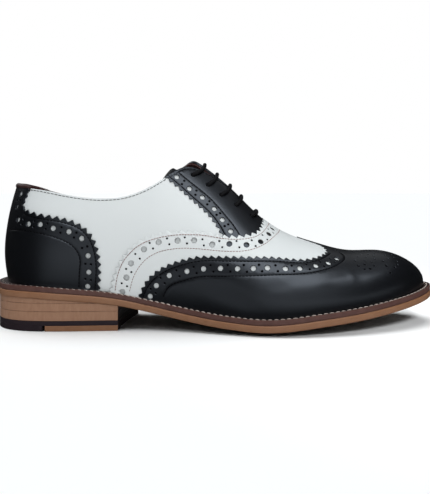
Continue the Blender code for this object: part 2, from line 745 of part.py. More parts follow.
for old in list(bpy.data.objects):
    bpy.data.objects.remove(old)
SHOE = bpy.data.collections.new("brogue_oxford")
CUTTERS = bpy.data.collections.new("cutters")
bpy.context.scene.collection.children.link(SHOE)
bpy.context.scene.collection.children.link(CUTTERS)
ROOT = bpy.data.objects.new("shoe_origin", None)
ROOT.location = (-LENGTH / 2 * MM, -MIDDLE_Y * MM, 0)
SHOE.objects.link(ROOT)

add_outsole()
add_heel()
add_welt()
add_insole()
add_upper()
add_counter()
add_facings()
add_vamp()
add_wing_cap()
add_tongue()
add_laces()
bpy.context.view_layer.update()
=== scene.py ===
import math

import bmesh
import bpy
import numpy as np
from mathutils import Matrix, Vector
from mathutils.geometry import delaunay_2d_cdt
from mathutils.kdtree import KDTree


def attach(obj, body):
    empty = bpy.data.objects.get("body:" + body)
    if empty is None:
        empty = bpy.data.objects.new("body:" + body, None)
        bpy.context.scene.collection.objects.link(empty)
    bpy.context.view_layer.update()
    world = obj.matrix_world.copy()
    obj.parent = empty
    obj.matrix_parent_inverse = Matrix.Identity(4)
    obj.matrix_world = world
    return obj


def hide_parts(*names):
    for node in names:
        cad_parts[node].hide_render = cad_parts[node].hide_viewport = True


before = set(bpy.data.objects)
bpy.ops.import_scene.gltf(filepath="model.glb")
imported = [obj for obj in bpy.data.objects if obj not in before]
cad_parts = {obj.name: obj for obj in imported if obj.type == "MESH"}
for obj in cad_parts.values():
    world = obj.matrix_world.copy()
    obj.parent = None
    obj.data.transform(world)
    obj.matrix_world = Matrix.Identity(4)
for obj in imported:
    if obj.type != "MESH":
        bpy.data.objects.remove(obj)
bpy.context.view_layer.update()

# Millimetres from the back of the heel, as the CAD model is drawn; the row frame's origin is moved
MM = 0.001
LENGTH = 306.0
MIDDLE_Y = 0.8
OUTSOLE = 4.5
WELT = 3.4
INSOLE = 4.0
GAP = 0.3
WELT_LOW = OUTSOLE + 0.05
WELT_TOP = OUTSOLE + GAP + WELT
FEATHER = WELT_TOP + GAP + 0.2  # the feather edge, where the upper starts, over the sole's underside
BOTH = (-1, 1)  # lateral and medial side
LOW = -0.01  # rise at which panels end, just under the feather edge
TINY = 1e-6

# The sole: its underside's height along the middle, and half its width with the middle's swing
SOLE_PROFILE = (
    (0, 22.5), (10, 22.2), (25, 22.0), (51, 20.4), (88, 16.6), (117, 10.4), (143, 4.7), (156, 2.1),
    (169, 0.1), (181, -1.0), (194, -1.0), (206, 0.0), (220, 1.8), (240, 4.5), (269, 9.8), (286, 13.6),
    (306, 18.8),
)
SOLE_CAMBER = 4.5
CAMBER_START, CAMBER_FULL = 105.0, 165.0
SOLE_OUTLINE = (
    (0, 0, 0), (12, 25.3, 0), (40, 33, 0), (75, 31, -0.5), (110, 29.5, -2), (150, 38.5, -2.5),
    (190, 49.5, -1), (213, 51, 1), (245, 46.5, 3), (272, 37, 4.5), (292, 24.5, 5), (306, 0, 5),
)
SOLE_SPAN = (0.0, LENGTH)
BACK_TRIM, TOE_EXTRA = 0.8, 0.8  # of the edge at the very back, and over the CAD's at the toe
SOLE_TURNS = np.linspace(0, math.pi, 141)

# Sections of the upper: station, then the sizes that SECTION_ENDS names, with the ends of their curves
SECTIONS = (
    (8.5, 0, 0, 0, 30, 0, 112, 0),
    (14, 17, 0, 2.5, 30, 14, 112, 0),
    (35, 29, 0, 5.5, 29, 26, 112, 0),
    (70, 28.5, -0.5, 5.5, 32, 26, 110, 0),
    (105, 27, -1.5, 6, 38, 22, 108, 1),
    (140, 31.5, -2, 7, 44, 19, 97.5, 3),
    (165, 38, -2, 6.5, 40, 22, 81.3, 4),
    (185, 43.5, -1, 6, 34, 27, 63, 5),
    (205, 46, 0.5, 5.5, 27, 30, 48.7, 5),
    (225, 45, 2, 5, 22, 30, 39.4, 4.5),
    (248, 40.5, 3.2, 4.5, 19, 28, 31.2, 4.5),
    (270, 33, 4.3, 4, 17, 24, 27.8, 4.8),
    (290, 19, 5, 2.5, 12.5, 15, 18, 5),
    (300.3, 0, 5, 0, 0, 0, 0, 5),
)
SECTION_ENDS = (
    ("half", "odd", "odd"),
    ("swing", "even", "even"),
    ("flare", "odd", "odd"),
    ("steep", "even", "odd"),
    ("crown", "odd", "odd"),
    ("height", "even", "odd"),
    ("lean", "even", "even"),
)
UPPER_SPAN = (8.5, 300.3)
SAMPLES = np.linspace(0, 1, 65)  # along a section's curve
TURN_CELLS, ACROSS_CELLS = 240, 160  # of the lattice of normals
HEEL_GIRTH = 121.0  # from the feather edge to the crest at the heel
BACK_FADE = 4  # power by which the heel's own back line fades out forwards
# The heel's back line: height, station
BACK = ((30, 8.8), (40, 7.1), (50, 6.3), (64, 7.2), (81, 10.2), (98, 14.9), (115, 20.5), (145, 31.5))

# Lines drawn on the upper: station from the heel, and share of the way up that section
TOPLINE = {
    -1: (
        (8.5, 0.59), (14, 0.568), (24.5, 0.531), (40, 0.511), (54.5, 0.501), (68.5, 0.5), (78.5, 0.509),
        (89, 0.532), (101.5, 0.592), (114.5, 0.692),
    ),
    1: (
        (8.5, 0.59), (14, 0.566), (24.5, 0.521), (40, 0.485), (54.5, 0.476), (68.5, 0.472), (78.5, 0.478),
        (89, 0.507), (101.5, 0.576), (114.5, 0.685),
    ),
}
COLLAR_END = {
    -1: ((118, 0.725), (122.3, 0.768), (126.8, 0.815), (131.3, 0.853), (136.8, 0.883)),
    1: ((118, 0.732), (122.3, 0.783), (127, 0.84), (131, 0.89), (134, 0.934), (138, 0.972)),
}
THROAT = {
    -1: ((142, 0.9), (150, 0.918), (165, 0.942), (182, 0.968)),
    1: ((143, 0.985), (150, 0.983), (165, 0.98), (182, 0.977)),
}
THROAT_END = 185.0
# Where a panel ends under its neighbour it has its own line
QUARTER_UNDER = ((126, 0.78), (135, 0.765), (144, 0.745), (152, 0.71), (158, 0.66), (166, 0.59), (200, 0.55))
# Stations along the feather edge
QUARTER_LOW = (200, 150, 100, 60, 30, 8.5)
COUNTER_LOW = (8.5, 30, 60, 75.5)
VAMP_LOW = (83, 95, 107, 117)
WING_LOW_POINTS = 160
# Edges of the panels
COUNTER_EDGE = (
    (76, LOW), (78, 0.13), (75, 0.26), (70.5, 0.315), (63, 0.355), (52.5, 0.376), (33, 0.392), (25, 0.412),
)
BACK_STRIP_EDGE = ((22.8, 0.43), (23.4, 0.475))
FACING_EDGE = ((118, 0.725), (127.7, 0.69), (136.8, 0.65), (145, 0.615), (151.4, 0.575), (158.5, 0.485))
FACING_UNDER = (
    (158.3, 0.44), (160.5, 0.405), (168, 0.4), (178, 0.43), (188, 0.51), (196, 0.65), (199.5, 0.85),
    (200, 0.996), (187, 0.996),
)
VAMP_EDGE = (
    (83, LOW), (87.2, 0.11), (94.2, 0.222), (103, 0.311), (111, 0.359), (122.3, 0.41), (135, 0.446),
    (146.8, 0.475), (158.5, 0.493), (167.3, 0.524), (176.3, 0.586), (181, 0.642), (184.7, 0.756),
    (186.7, 0.89), (187.4, 1),
)
VAMP_UNDER = (
    (117, LOW), (122, 0.08), (131, 0.14), (144, 0.19), (160, 0.235), (178, 0.28), (196, 0.325), (214, 0.36),
    (230, 0.42), (240, 0.52), (244, 0.65), (243, 0.8), (240, 1),
)
WING_EDGE = (
    (102, LOW), (106.5, 0.08), (114.4, 0.165), (123.2, 0.225), (134, 0.28), (144, 0.32), (156, 0.352),
    (168, 0.385), (180.5, 0.425), (193, 0.46), (213, 0.495), (223.5, 0.575), (229.5, 0.685),
)
WING_PEAK = ((229.5, 0.685), (229.2, 0.78), (227.2, 0.87), (222, 0.937), (217, 0.972), (211.5, 1))

# Rows of punched holes
COUNTER_HOLES = (
    (21.2, 0.355), (29.7, 0.33), (37.9, 0.33), (46.7, 0.315), (57.1, 0.305), (65.6, 0.275), (70, 0.185),
    (70, 0.095), (68.5, 0.015),
)
STRIP_HOLES = ((17.5, 0.435), (18.1, 0.506))
FACING_HOLES = ((125.9, 0.755), (135, 0.715), (144.1, 0.695), (152.3, 0.655), (157.8, 0.603), (163.3, 0.547))
VAMP_HOLES = (
    (91.3, 0.01), (94.6, 0.095), (98, 0.18), (106.5, 0.275), (116.1, 0.335), (128.6, 0.375), (139.5, 0.405),
    (151.4, 0.415), (162.5, 0.455), (173.6, 0.492), (183, 0.564), (189, 0.688), (192.3, 0.813), (194.6, 1),
)
WING_HOLES = (
    (110, 0.02), (114.4, 0.09), (123.2, 0.165), (135, 0.215), (145.9, 0.255), (156.9, 0.285), (167.8, 0.31),
    (177.8, 0.34), (186.8, 0.365), (198.3, 0.38), (207.8, 0.395), (218.7, 0.435), (227.6, 0.485),
    (234.6, 0.575),
)
BIG_HOLE = 1.72
VAMP_HOLE = 1.95
PINHOLE = 0.7
PIN_APART = 1.8  # a pinhole's distance from the row of big holes
PIN_DEPTH = 0.5
HOLE_CORNERS, PIN_CORNERS = 20, 12
EYELETS = ((136.8, 0.82), (147.6, 0.807), (156.9, 0.79), (167.1, 0.785), (177.8, 0.795))
EYELET = 1.6
# Pinholes of the toe's medallion, symmetrical about the crest: station, millimetres off it, radius
MEDALLION = (
    (244, 0, 1.0), (249, 0, 0.65), (254, 0, 1.0), (259, 0, 0.65), (264, 0, 1.0),
    (269, 0, 0.65), (273.5, 0, 1.0), (247, 6, 0.65), (250, 10, 0.65), (254.4, 13.1, 0.9),
    (259.5, 14, 0.65), (264, 13, 0.65), (267.5, 10, 0.65), (270, 6, 0.65), (259, 6, 0.9),
    (264.5, 6.5, 0.65), (253.5, 6.5, 0.65), (247.4, 26.6, 0.8), (248.6, 32.2, 0.8), (252.1, 34.6, 0.7),
    (256, 33.8, 0.8), (259.4, 30.6, 0.65), (258.8, 26.8, 0.65), (254.4, 25.4, 0.7), (253.4, 29.8, 0.9),
    (251, 20, 0.65), (256.5, 20.6, 0.65), (262, 22.4, 0.65), (262.6, 17.6, 0.65), (268, 29.1, 0.9),
    (271.3, 20.8, 0.7), (273.6, 28.4, 0.7), (269.5, 33.8, 0.7), (277, 21.4, 0.65), (276.2, 25, 0.65),
    (267, 24.8, 0.65), (270.8, 16, 0.65), (276, 16.6, 0.65), (276.5, 11, 0.65),
)

# Rows of stitches
COUNTER_STITCH = (
    (62.7, 0.0), (64.1, 0.1), (64.1, 0.185), (60.6, 0.225), (51.8, 0.26), (36.3, 0.285),
    (20, 0.3), (8.5, 0.305),
)
VAMP_OUTER_STITCH = (
    (86.4, 0.005), (88.3, 0.082), (92, 0.167), (97.4, 0.237), (104, 0.296), (112.7, 0.345), (124.4, 0.394),
    (135, 0.427), (147.5, 0.457), (159, 0.477), (166, 0.498), (172.6, 0.531), (181.2, 0.608), (186.6, 0.722),
    (189.9, 0.87), (190.8, 0.95),
)
VAMP_INNER_STITCH = (
    (96, 0.015), (99.4, 0.108), (104.2, 0.183), (113, 0.262), (124.5, 0.316), (134, 0.345), (148.1, 0.374),
    (165.5, 0.415), (174.8, 0.458), (186.5, 0.57), (193.2, 0.705), (197.6, 0.875), (198.2, 0.95),
)
FACING_STITCH = (
    (124, 0.802), (135.9, 0.76), (150.5, 0.71), (160.5, 0.64), (166.9, 0.58), (169.7, 0.54),
)
WING_STITCH = (
    (118.8, 0.03), (122, 0.09), (131.3, 0.15), (141.3, 0.195), (156, 0.235), (172.4, 0.275), (188.6, 0.315),
    (207.8, 0.345), (222, 0.385), (230.7, 0.44), (237.6, 0.525), (240.6, 0.605), (240, 0.72), (236, 0.82),
)
EDGE_STITCH = 2.3  # from the middle of a pinked edge to its row of stitches
THROAT_STITCH, COLLAR_STITCH = 1.6, 1.3
COLLAR_STITCH_START = 24
PANEL_THREAD = (2.3, 2.05, 0.24)  # pitch, length and radius of a stitch
COLLAR_THREAD = (2.6, 2.3, 0.22)
VAMP_THREAD = (1.9, 1.75, 0.2)
THREAD_SUNK = 0.1
STITCH_START, STITCH_STOP = 0.5, 0.8
STITCH_ROUND = 6
STITCH_LEVELS = (-0.82, -0.45, 0.0, 0.45, 0.82)
STITCH_SUNK, STITCH_BOW = 0.35, 0.6  # in radii
# The welt's stitches: place between the upper and the edge, and where and how far out the upper is taken
WELT_SEAM = 0.55
WELT_SEAM_RISE, WELT_SEAM_OUT = 0.02, 1.8
WELT_PITCH, WELT_THREAD_LENGTH = 4.0, 3.0
WELT_SLANT = 0.18
WELT_FAINT = (80, 120)  # stations between which the thread grows bold
WELT_THREAD = (0.32, 0.42)  # radius where it is faint, and bold
WELT_THREAD_SUNK = 0.3

# Layers of leather, inner and outer face in millimetres from the CAD upper's outer face
LINING = (-2.0, -0.95)
QUARTER = (-0.9, 0.0)
FACING = (-0.9, 0.75)
COUNTER = (-0.5, 1.1)
VAMP = (-0.5, 1.2)
WING = (1.0, 1.75)
# Thinner leather below the punched panels, to show how deep the holes are: depth, and outlines
QUARTER_THIN, FACING_THIN = 0.4, 0.9
UNDER_COUNTER = (
    (73, LOW), (74.5, 0.13), (71.5, 0.24), (67, 0.29), (60, 0.325), (50, 0.348), (33, 0.362), (22.5, 0.385),
    (20.5, 0.43), (21, 0.5), (8.5, 0.53), (8.5, LOW),
)
UNDER_FRONT = (
    (88, LOW), (91, 0.1), (97.5, 0.195), (105.5, 0.28), (113, 0.326), (123.5, 0.375), (136, 0.412),
    (147.5, 0.442), (158, 0.465), (159.5, 0.53), (154.5, 0.595), (147.5, 0.645), (139, 0.68), (130, 0.718),
    (123, 0.748), (126, 0.85), (210, 0.85), (210, LOW),
)
UNDER_VAMP = (
    (158, 0.46), (167.3, 0.497), (176.3, 0.55), (183, 0.61), (187.5, 0.72), (190, 0.85), (191, 1.1),
    (220, 1.1), (220, 0.3), (150, 0.3),
)
UNDER_WING, THIN_UNDER_WING = 2.2, 0.5  # how far in from the wing's edge the vamp gets thin, and by how much
SKIVE = ((83, 0.3), (96, 0.5), (106, 1.08), (150, 1.08), (160, 0))  # station, depth at the vamp's edge
SKIVE_WIDTH = 3.6
# The lining's mesh is closer at both ends
LINING_STATIONS = np.array([8.5, 9, 10.5, 13, 17, *range(22, 292, 3), 293, 296, 298, 299.5, 300.3])
LINING_WIDE = 31
LINING_SHORT = 0.003  # of the collar, as a share of the section
# The lining rolled over the collar's back edge: side, station, radius and height over the edge
BINDING = (
    (-1, 25, 1.1, 0.1), (-1, 20, 1.6, -0.35), (-1, 14, 1.95, -0.75), (-1, 10, 2.05, -0.9),
    (-1, 8.5, 2.05, -0.95), (1, 10, 1.9, -1.0), (1, 14, 1.3, -1.0), (1, 20, 0.9, -0.95), (1, 25, 0.7, -0.95),
    (1, 29, 0.4, -0.9),
)
BINDING_OUT = 0.1
BINDING_SIDES = 14

# Cut edges, grooves under the stitches, and the points of the panels' meshes
RIM = 0.22  # rounding of a cut edge
GROOVE = 0.28  # how far a row of stitches draws the leather in
GROOVE_HALF = 0.55
GROOVE_STEP, GROOVE_CLEAR = 0.8, 0.45
COARSE, MIDDLING, FINE = 1.8, 1.7, 1.6  # between the points of a mesh
ROW_SPACING = 0.87
EDGE_ROOM = 0.55  # share of the spacing that points keep off a cut edge
GROOVE_ROOM, HOLE_ROOM = 0.7, 0.5
MERGE = 0.004  # vertices nearer than this become one
# Pinked edges
TOOTH = ((0.05, -0.9), (0.45, 0.9), (0.55, 0.9), (0.95, -0.9))  # share of the pitch, share of the depth
NEAR = 0.4  # step for directions along an edge
PINK_PITCH = 4.9
PINK_DEPTH = 1.15  # each way from the edge's line
FACING_PITCH, FACING_DEPTH = 4.6, 0.9
COUNTER_PITCH = 5.4
STRIP_PITCH, STRIP_DEPTH = 4.4, 0.7 * PINK_DEPTH
WING_DEPTH = 0.98
COUNTER_IN = 0.8  # how far the counter's edge is cut back from its line

# Creases where the toes bend: both ends as (station, rise), depth and half width; ridges are negative
CREASES = (
    ((226, 0.31), (238, 0.39), 0.28, 3.2),
    ((239.5, 0.46), (243, 0.29), -0.24, 2.8),
    ((214, 0.25), (228, 0.27), -0.2, 3.0),
    ((199, 0.28), (214, 0.34), 0.2, 3.6),
    ((185, 0.225), (200, 0.245), 0.18, 3.2),
    ((246, 0.36), (250, 0.22), 0.1, 4.5),
    ((206, 0.62), (210, 0.86), 0.2, 3.4),
    ((198, 0.66), (203, 0.88), -0.16, 3.2),
    ((147, 0.205), (178, 0.1), 0.65, 5.0),
)
CREASE_GIRTH = 80.0  # from feather edge to crest at the ball
CREASE_ENDS = 0.35  # share of its depth that a crease has at its ends

# Tongue: station, half width as a share of the section; station, depth below its usual place
TONGUE = (
    (124.6, 0.1), (125.2, 0.125), (126, 0.148), (127.5, 0.17), (132, 0.185), (145, 0.19), (165, 0.18),
    (185, 0.17), (200, 0.15),
)
TONGUE_SINK = (
    (124.6, 18.6), (125.2, 14.1), (126, 10.2), (127.5, 7.5), (129, 7.2), (130.5, 7.2), (135, 5.2), (140, 2.2),
    (145, 0.4), (150, 0), (175, 0), (182, -0.6), (190, -2.2), (200, -2.4),
)
TONGUE_FACES = (-6.6, -5.0)
# Its mesh is closer over the rolled edge
TONGUE_STATIONS = np.concatenate([np.linspace(TONGUE[0][0], 128, 14), np.linspace(129.5, TONGUE[-1][0], 44)])
TONGUE_WIDE = 31

# Lace
BAR_FORWARD = (7.0, 5.3, 5.5, 3.3, 3.5)  # how far the middle of each bar lies before its eyelets
BAR_HOOK = 3.2  # power of the bend where a bar turns down into its eyelets
BAR_REACH = 0.86  # share of the way to the eyelets that a bar lies on the leather
LACE_RADIUS = 1.35
LACE_OVER = FACING[1] + LACE_RADIUS + 0.15
LACE_UNDER = LINING[0] - LACE_RADIUS - 0.15
LACE_DIVE = (LACE_UNDER + 0.4, -1.2, 0.3)  # heights of a bar's end on its way up through an eyelet
LACE_SAG = 0.45  # of a bar over the throat
RUN_SHARES = (0.15, 0.3, 0.5, 0.7, 0.85)
# Runs from eyelet to eyelet, each with a bar at its end: side, and how far the run passes aside in rise
LACE_ROUTE = ((0, 1, -1, 0), (1, 3, 1, -0.035), (3, 4, -1, 0), (4, 2, 1, 0.03), (2, 0, -1, -0.035))
TUBE_STEP = 0.45
WEAVE_TWIST = 2.2

# Sole: rings up each edge, as inset and height over the outsole's underside
OUTSOLE_SHAPE = (
    (1.2, 0.0), (0.45, 0.12), (0.1, 0.5), (0.0, 1.1), (0.0, 3.4), (0.08, 4.0), (0.35, 4.4),
    (0.8, WELT_LOW),
)
WELT_OUTER = (
    (0.7, WELT_LOW), (0.3, WELT_LOW + 0.3), (0.25, WELT_LOW + 0.7), (0.25, WELT_TOP - 0.8),
    (0.4, WELT_TOP - 0.2), (0.9, WELT_TOP),
)
WELT_INNER = ((0.6, WELT_TOP), (3.0, WELT_TOP), (3.0, WELT_LOW))
SOCK_LOW = OUTSOLE + 0.4
SOCK_SHAPE = ((2.4, SOCK_LOW), (2.4, SOCK_LOW + INSOLE), (2.8, SOCK_LOW + INSOLE + 0.3))
PLATE_WIDE = 25

# Heel
HEEL_INSET = 1.0
BREAST_LATERAL, BREAST_MEDIAL = 88.6, 95.0
BREAST_HOLLOW = 2.0
BREAST_POINTS, HEEL_POINTS = 25, 60
TOP_PIECE_HEIGHT = 3.8
RUBBER_HEIGHT = 6.9
LIFT_3_HEIGHT = 13.1
LIFT_2_HEIGHT = 18.6
RUBBER_CORNER = 39.3
SEAM = 0.14  # between two layers
LAYER_ROUND = 0.18
CORNER_ROOM = 0.3  # that an outline's points keep off its corners
LIFT_PRESS = 0.05  # how far a lift reaches into the sole
LIFT_LEAST = 0.25  # thickness at which the top lift ends

# Colour, second tone and its size, roughness, gloss; for most the strength and size of the grain; for the
# stacked leather also the scale that draws it out upright
FINISHES = {
    "black_calf": ((0.0025, 0.0027, 0.0034), (0.0045, 0.005, 0.0065), 25, 0.31, 0.72, 0.2, 0.7),
    "tongue_calf": ((0.0025, 0.0027, 0.0034), (0.0045, 0.005, 0.0065), 25, 0.55, 0.2, 0.3, 0.7),
    "white_calf": ((0.565, 0.592, 0.596), (0.608, 0.631, 0.632), 40, 0.42, 0.4, 0.2, 0.7),
    # Dark grey on the vamp's cut walls: partly the cut edge's own grey, partly painted shade in the holes and
    # on the teeth's flanks
    "cut_edge_and_shade": ((0.09, 0.085, 0.085), None, 0, 0.8, 0.1),
    "lining_calf": ((0.066, 0.025, 0.024), (0.094, 0.040, 0.036), 20, 0.6, 0.3, 0.3, 0.8),
    "collar_binding": ((0.026, 0.010, 0.010), (0.045, 0.020, 0.018), 6, 0.5, 0.3, 0.3, 0.8),
    "sole_edge": ((0.20, 0.090, 0.042), (0.25, 0.125, 0.068), 6, 0.45, 0.35, 0.3, 0.5),
    "sole_bottom": ((0.105, 0.094, 0.088), (0.145, 0.13, 0.12), 9, 0.5, 0.3, 0.3, 0.5),
    "welt_edge": ((0.062, 0.026, 0.021), (0.110, 0.052, 0.043), 4, 0.5, 0.3, 0.3, 0.5),
    "welt_top": ((0.014, 0.008, 0.008), (0.024, 0.014, 0.013), 5, 0.6, 0.2, 0.3, 0.5),
    "stacked_leather": ((0.235, 0.118, 0.068), (0.335, 0.19, 0.12), 2, 0.55, 0.3, 0.5, 0.5, 0.35),
    "heel_breast": ((0.016, 0.010, 0.009), (0.026, 0.016, 0.014), 4, 0.6, 0.2, 0.3, 0.5),
    "heel_rubber": ((0.016, 0.009, 0.013), (0.024, 0.015, 0.020), 8, 0.62, 0.3, 0.3, 0.6),
    "lace_cord": ((0.004, 0.004, 0.005), None, 0, 0.7, 0.15, 0.5, 0.5),
    "pinhole_shadow": ((0.004, 0.004, 0.005), None, 0, 0.8, 0.0),
    "black_thread": ((0.002, 0.002, 0.003), None, 0, 0.7, 0.1),
    "brown_thread": ((0.16, 0.045, 0.030), None, 0, 0.6, 0.3),
    "welt_thread": ((0.42, 0.36, 0.32), None, 0, 0.65, 0.3),
}
BLACK_TINT = (0.8, 0.88, 1, 1)
GRAIN_HEIGHT = 0.1

# The photograph
PHOTO_WIDTH, PHOTO_HEIGHT = 430, 494
CAMERA_DISTANCE = 430.0
CAMERA_HEIGHT = 92.0
FOCAL_PIXELS = 604.0
HORIZON_PIXEL = 192.0
SENSOR = 36.0

# Floor and lights; the levels are radiances, and the sun's is an irradiance
FLOOR_SIZE = 80.0
FLOOR_TONE = 0.93
LIGHT_COLOUR = (0.97, 0.99, 1)
ROOM_LEVEL = 0.015
# Level soft panels: corners, height, whether it faces down, and level
PANELS = {
    "key_left": ((-0.27, -2.2), (0.15, -0.27), 0.9, True, 3.0),
    "key_right": ((0.15, -1.4), (0.68, -0.27), 0.9, True, 3.0),
    "overhead": ((-0.7, -0.27), (0.8, 0.4), 0.9, True, 0.25),
    "behind": ((-0.5, 0.5), (0.7, 2.0), 0.9, True, 0.25),
    "rear": ((-2.2, 0.2), (-0.5, 2.0), 0.9, True, 1.4),
    "floor_near": ((-0.17, -0.25), (1.2, -0.1), 0.002, False, 0.4),
    "floor_middle": ((-0.25, -0.55), (1.2, -0.25), 0.002, False, 0.75),
    "floor_far": ((-0.5, -1.4), (1.2, -0.55), 0.002, False, 0.6),
    "floor_behind": ((-0.15, 0.1), (0.16, 1.6), 0.002, False, 1.0),
}
FILL_PLACE = (0.3, -1.6, 0.35)
FILL_SIZE = (1.8, 1.0)
FILL_LEVEL = 0.42
TOP_LEVEL = 2.15
SUN_WAY = (0.3, 0.0, -1.0)
SUN_LEVEL = 3.5
SUN_ANGLE = 68.0
TOE_PLACE, TOE_AIM = (0.15, -0.6, 0.42), (0.125, 0, 0)
TOE_CONE, TOE_RADIUS, TOE_LEVEL = 18.0, 0.1, 24.0


def unit(vectors):
    return vectors / np.linalg.norm(vectors, axis=-1, keepdims=True)


def sideways(way):
    """Flat vectors turned a quarter turn to the left."""
    return np.column_stack([-way[:, 1], way[:, 0]])


def lengths_along(points):
    return np.concatenate([[0], np.cumsum(np.linalg.norm(np.diff(points, axis=0), axis=1))])


def at_lengths(points, along, at):
    return np.column_stack([np.interp(at, along, column) for column in points.T])


def over(rise, side):
    """From a rise to across: 0 at the lateral feather edge, 1 at the crest, 2 at the medial feather edge."""
    return rise if side < 0 else 2 - rise


def tree_of(points):
    tree = KDTree(len(points))
    for k, (x, y) in enumerate(points):
        tree.insert((x, y, 0), k)
    tree.balance()
    return tree


def distances(tree, points):
    return np.array([tree.find((x, y, 0))[2] for x, y in points])


def around(first, count):
    """Pairs of neighbours round a closed ring of vertices."""
    return [(first + k, first + (k + 1) % count) for k in range(count)]


def ring_quads(rings, size, closed=False):
    """Faces between rings of vertices that follow each other; closed joins the last ring to the first."""
    faces = []
    for level in range(rings if closed else rings - 1):
        up = ((level + 1) % rings - level) * size
        faces += [(a, b, b + up, a + up) for a, b in around(level * size, size)]
    return faces


def sheet_quads(rows, wide, first=0):
    """Faces of a grid of vertices that are numbered row by row."""
    starts = [first + i * wide + j for i in range(rows - 1) for j in range(wide - 1)]
    return [(a, a + wide, a + wide + 1, a + 1) for a in starts]


def flipped(faces, shift=0):
    return [tuple(shift + k for k in reversed(face)) for face in faces]


def spline(places, values, start="even", end="even"):
    """Cubic curve through a table. An even end is mirrored there, so it is level; an odd end turns over."""
    places, values = np.asarray(places, float), np.asarray(values, float)
    ghosts = min(4, len(places) - 1)
    low, high = values[ghosts:0:-1], values[-2:-2 - ghosts:-1]
    if start == "odd":
        low = 2 * values[0] - low
    if end == "odd":
        high = 2 * values[-1] - high
    before = 2 * places[0] - places[ghosts:0:-1]
    after = 2 * places[-1] - places[-2:-2 - ghosts:-1]
    x = np.concatenate([before, places, after])
    y = np.concatenate([low, values, high])
    step = np.diff(x)
    slope = np.diff(y) / step
    matrix = np.eye(len(x))
    right = np.zeros(len(x))
    for row in range(1, len(x) - 1):
        matrix[row, row - 1:row + 2] = step[row - 1], 2 * (step[row - 1] + step[row]), step[row]
        right[row] = 6 * (slope[row] - slope[row - 1])
    bend = np.linalg.solve(matrix, right)

    def value(at):
        at = np.asarray(at, float)
        cell = np.clip(np.searchsorted(x, at) - 1, 0, len(x) - 2)
        width = step[cell]
        left = (x[cell + 1] - at) / width
        rest = (at - x[cell]) / width
        curve = (left**3 - left) * bend[cell] + (rest**3 - rest) * bend[cell + 1]
        return left * y[cell] + rest * y[cell + 1] + curve * width**2 / 6

    return value


def columns(table):
    return np.array(table, float).T


def turn_at(from_heel, span=UPPER_SPAN):
    """Stations as angles from 0 at the heel to a half turn at the toe, which round off both ends."""
    share = (np.asarray(from_heel, float) - span[0]) / (span[1] - span[0])
    return np.arccos(np.clip(1 - 2 * share, -1, 1))


def place_at(turn, span=UPPER_SPAN):
    return span[0] + (span[1] - span[0]) * (1 - np.cos(turn)) / 2


outline_station, outline_half, outline_swing = columns(SOLE_OUTLINE)
outline_turns = turn_at(outline_station, SOLE_SPAN)
sole_level = spline(*columns(SOLE_PROFILE), "even", "odd")
sole_half = spline(outline_turns, outline_half, "odd", "odd")
sole_swing = spline(outline_turns, outline_swing)
heel_back = spline(*columns(BACK), "odd", "odd")
section_stations, *section_values = columns(SECTIONS)
section = {
    name: spline(turn_at(section_stations), values, start, end)
    for (name, start, end), values in zip(SECTION_ENDS, section_values)
}


def sole_bottom(from_heel, y):
    """Height of the sole's underside: level along its middle, raised towards the edges of the forefoot."""
    turn = turn_at(from_heel, SOLE_SPAN)
    half = np.maximum(sole_half(turn), 1.0)
    ramp = np.clip((from_heel - CAMBER_START) / (CAMBER_FULL - CAMBER_START), 0, 1)
    share = np.clip(np.abs(y - sole_swing(turn)) / half, 0, 1)
    camber = SOLE_CAMBER * ramp * np.clip(half / outline_half.max(), 0, 1) ** 2 * share**2
    return np.maximum(sole_level(from_heel) + camber, 0)


def bernstein(t):
    return np.stack([(1 - t) ** 3, 3 * t * (1 - t) ** 2, 3 * t**2 * (1 - t), t**3])


def section_corners(turn, side):
    """The four control points of each section's curve from the feather edge to the crest."""
    half, swing, flare, steep, crown, height, lean = (curve(turn) for curve in section.values())
    from_heel = place_at(turn)
    lateral, medial = (sole_bottom(from_heel, swing + s * half) + FEATHER for s in BOTH)
    low = np.where(side < 0, lateral, medial)
    crest = (lateral + medial) / 2 + height
    y = np.stack([swing + side * half, swing + side * (half + flare), lean + side * crown, lean])
    z = np.stack([low, low + steep, crest, crest])
    return y, z


def section_lengths(y, z):
    """Lengths along each section from its feather edge, at the samples."""
    weights = bernstein(SAMPLES)
    step = np.hypot(np.diff(y.T @ weights, axis=1), np.diff(z.T @ weights, axis=1))
    return np.concatenate([np.zeros((len(step), 1)), np.cumsum(step, axis=1)], axis=1)


def girth(turn, side):
    return section_lengths(*section_corners(turn, np.full(turn.shape, side)))[:, -1]


def on_last(turn, across):
    """Points of the upper's outer face."""
    turn, across = np.ravel(turn), np.ravel(across)
    side = np.where(across <= 1, -1.0, 1.0)
    rise = np.where(across <= 1, across, 2 - across)
    y, z = section_corners(turn, side)
    along = section_lengths(y, z)
    whole = np.maximum(along[:, -1], TINY)
    goal = np.clip(rise, 0, 1) * whole
    cell = np.clip((along <= goal[:, None]).sum(axis=1) - 1, 0, len(SAMPLES) - 2)
    rows = np.arange(len(turn))
    here, there = along[rows, cell], along[rows, cell + 1]
    share = np.clip((goal - here) / np.maximum(there - here, TINY), 0, 1)
    weights = bernstein(SAMPLES[cell] + share * SAMPLES[1])
    px, py, pz = place_at(turn), (y * weights).sum(axis=0), (z * weights).sum(axis=0)
    px = px + (heel_back(pz) - UPPER_SPAN[0]) * ((1 + np.cos(turn)) / 2) ** BACK_FADE
    return np.column_stack([px, py, pz + np.minimum(rise, 0) * whole])


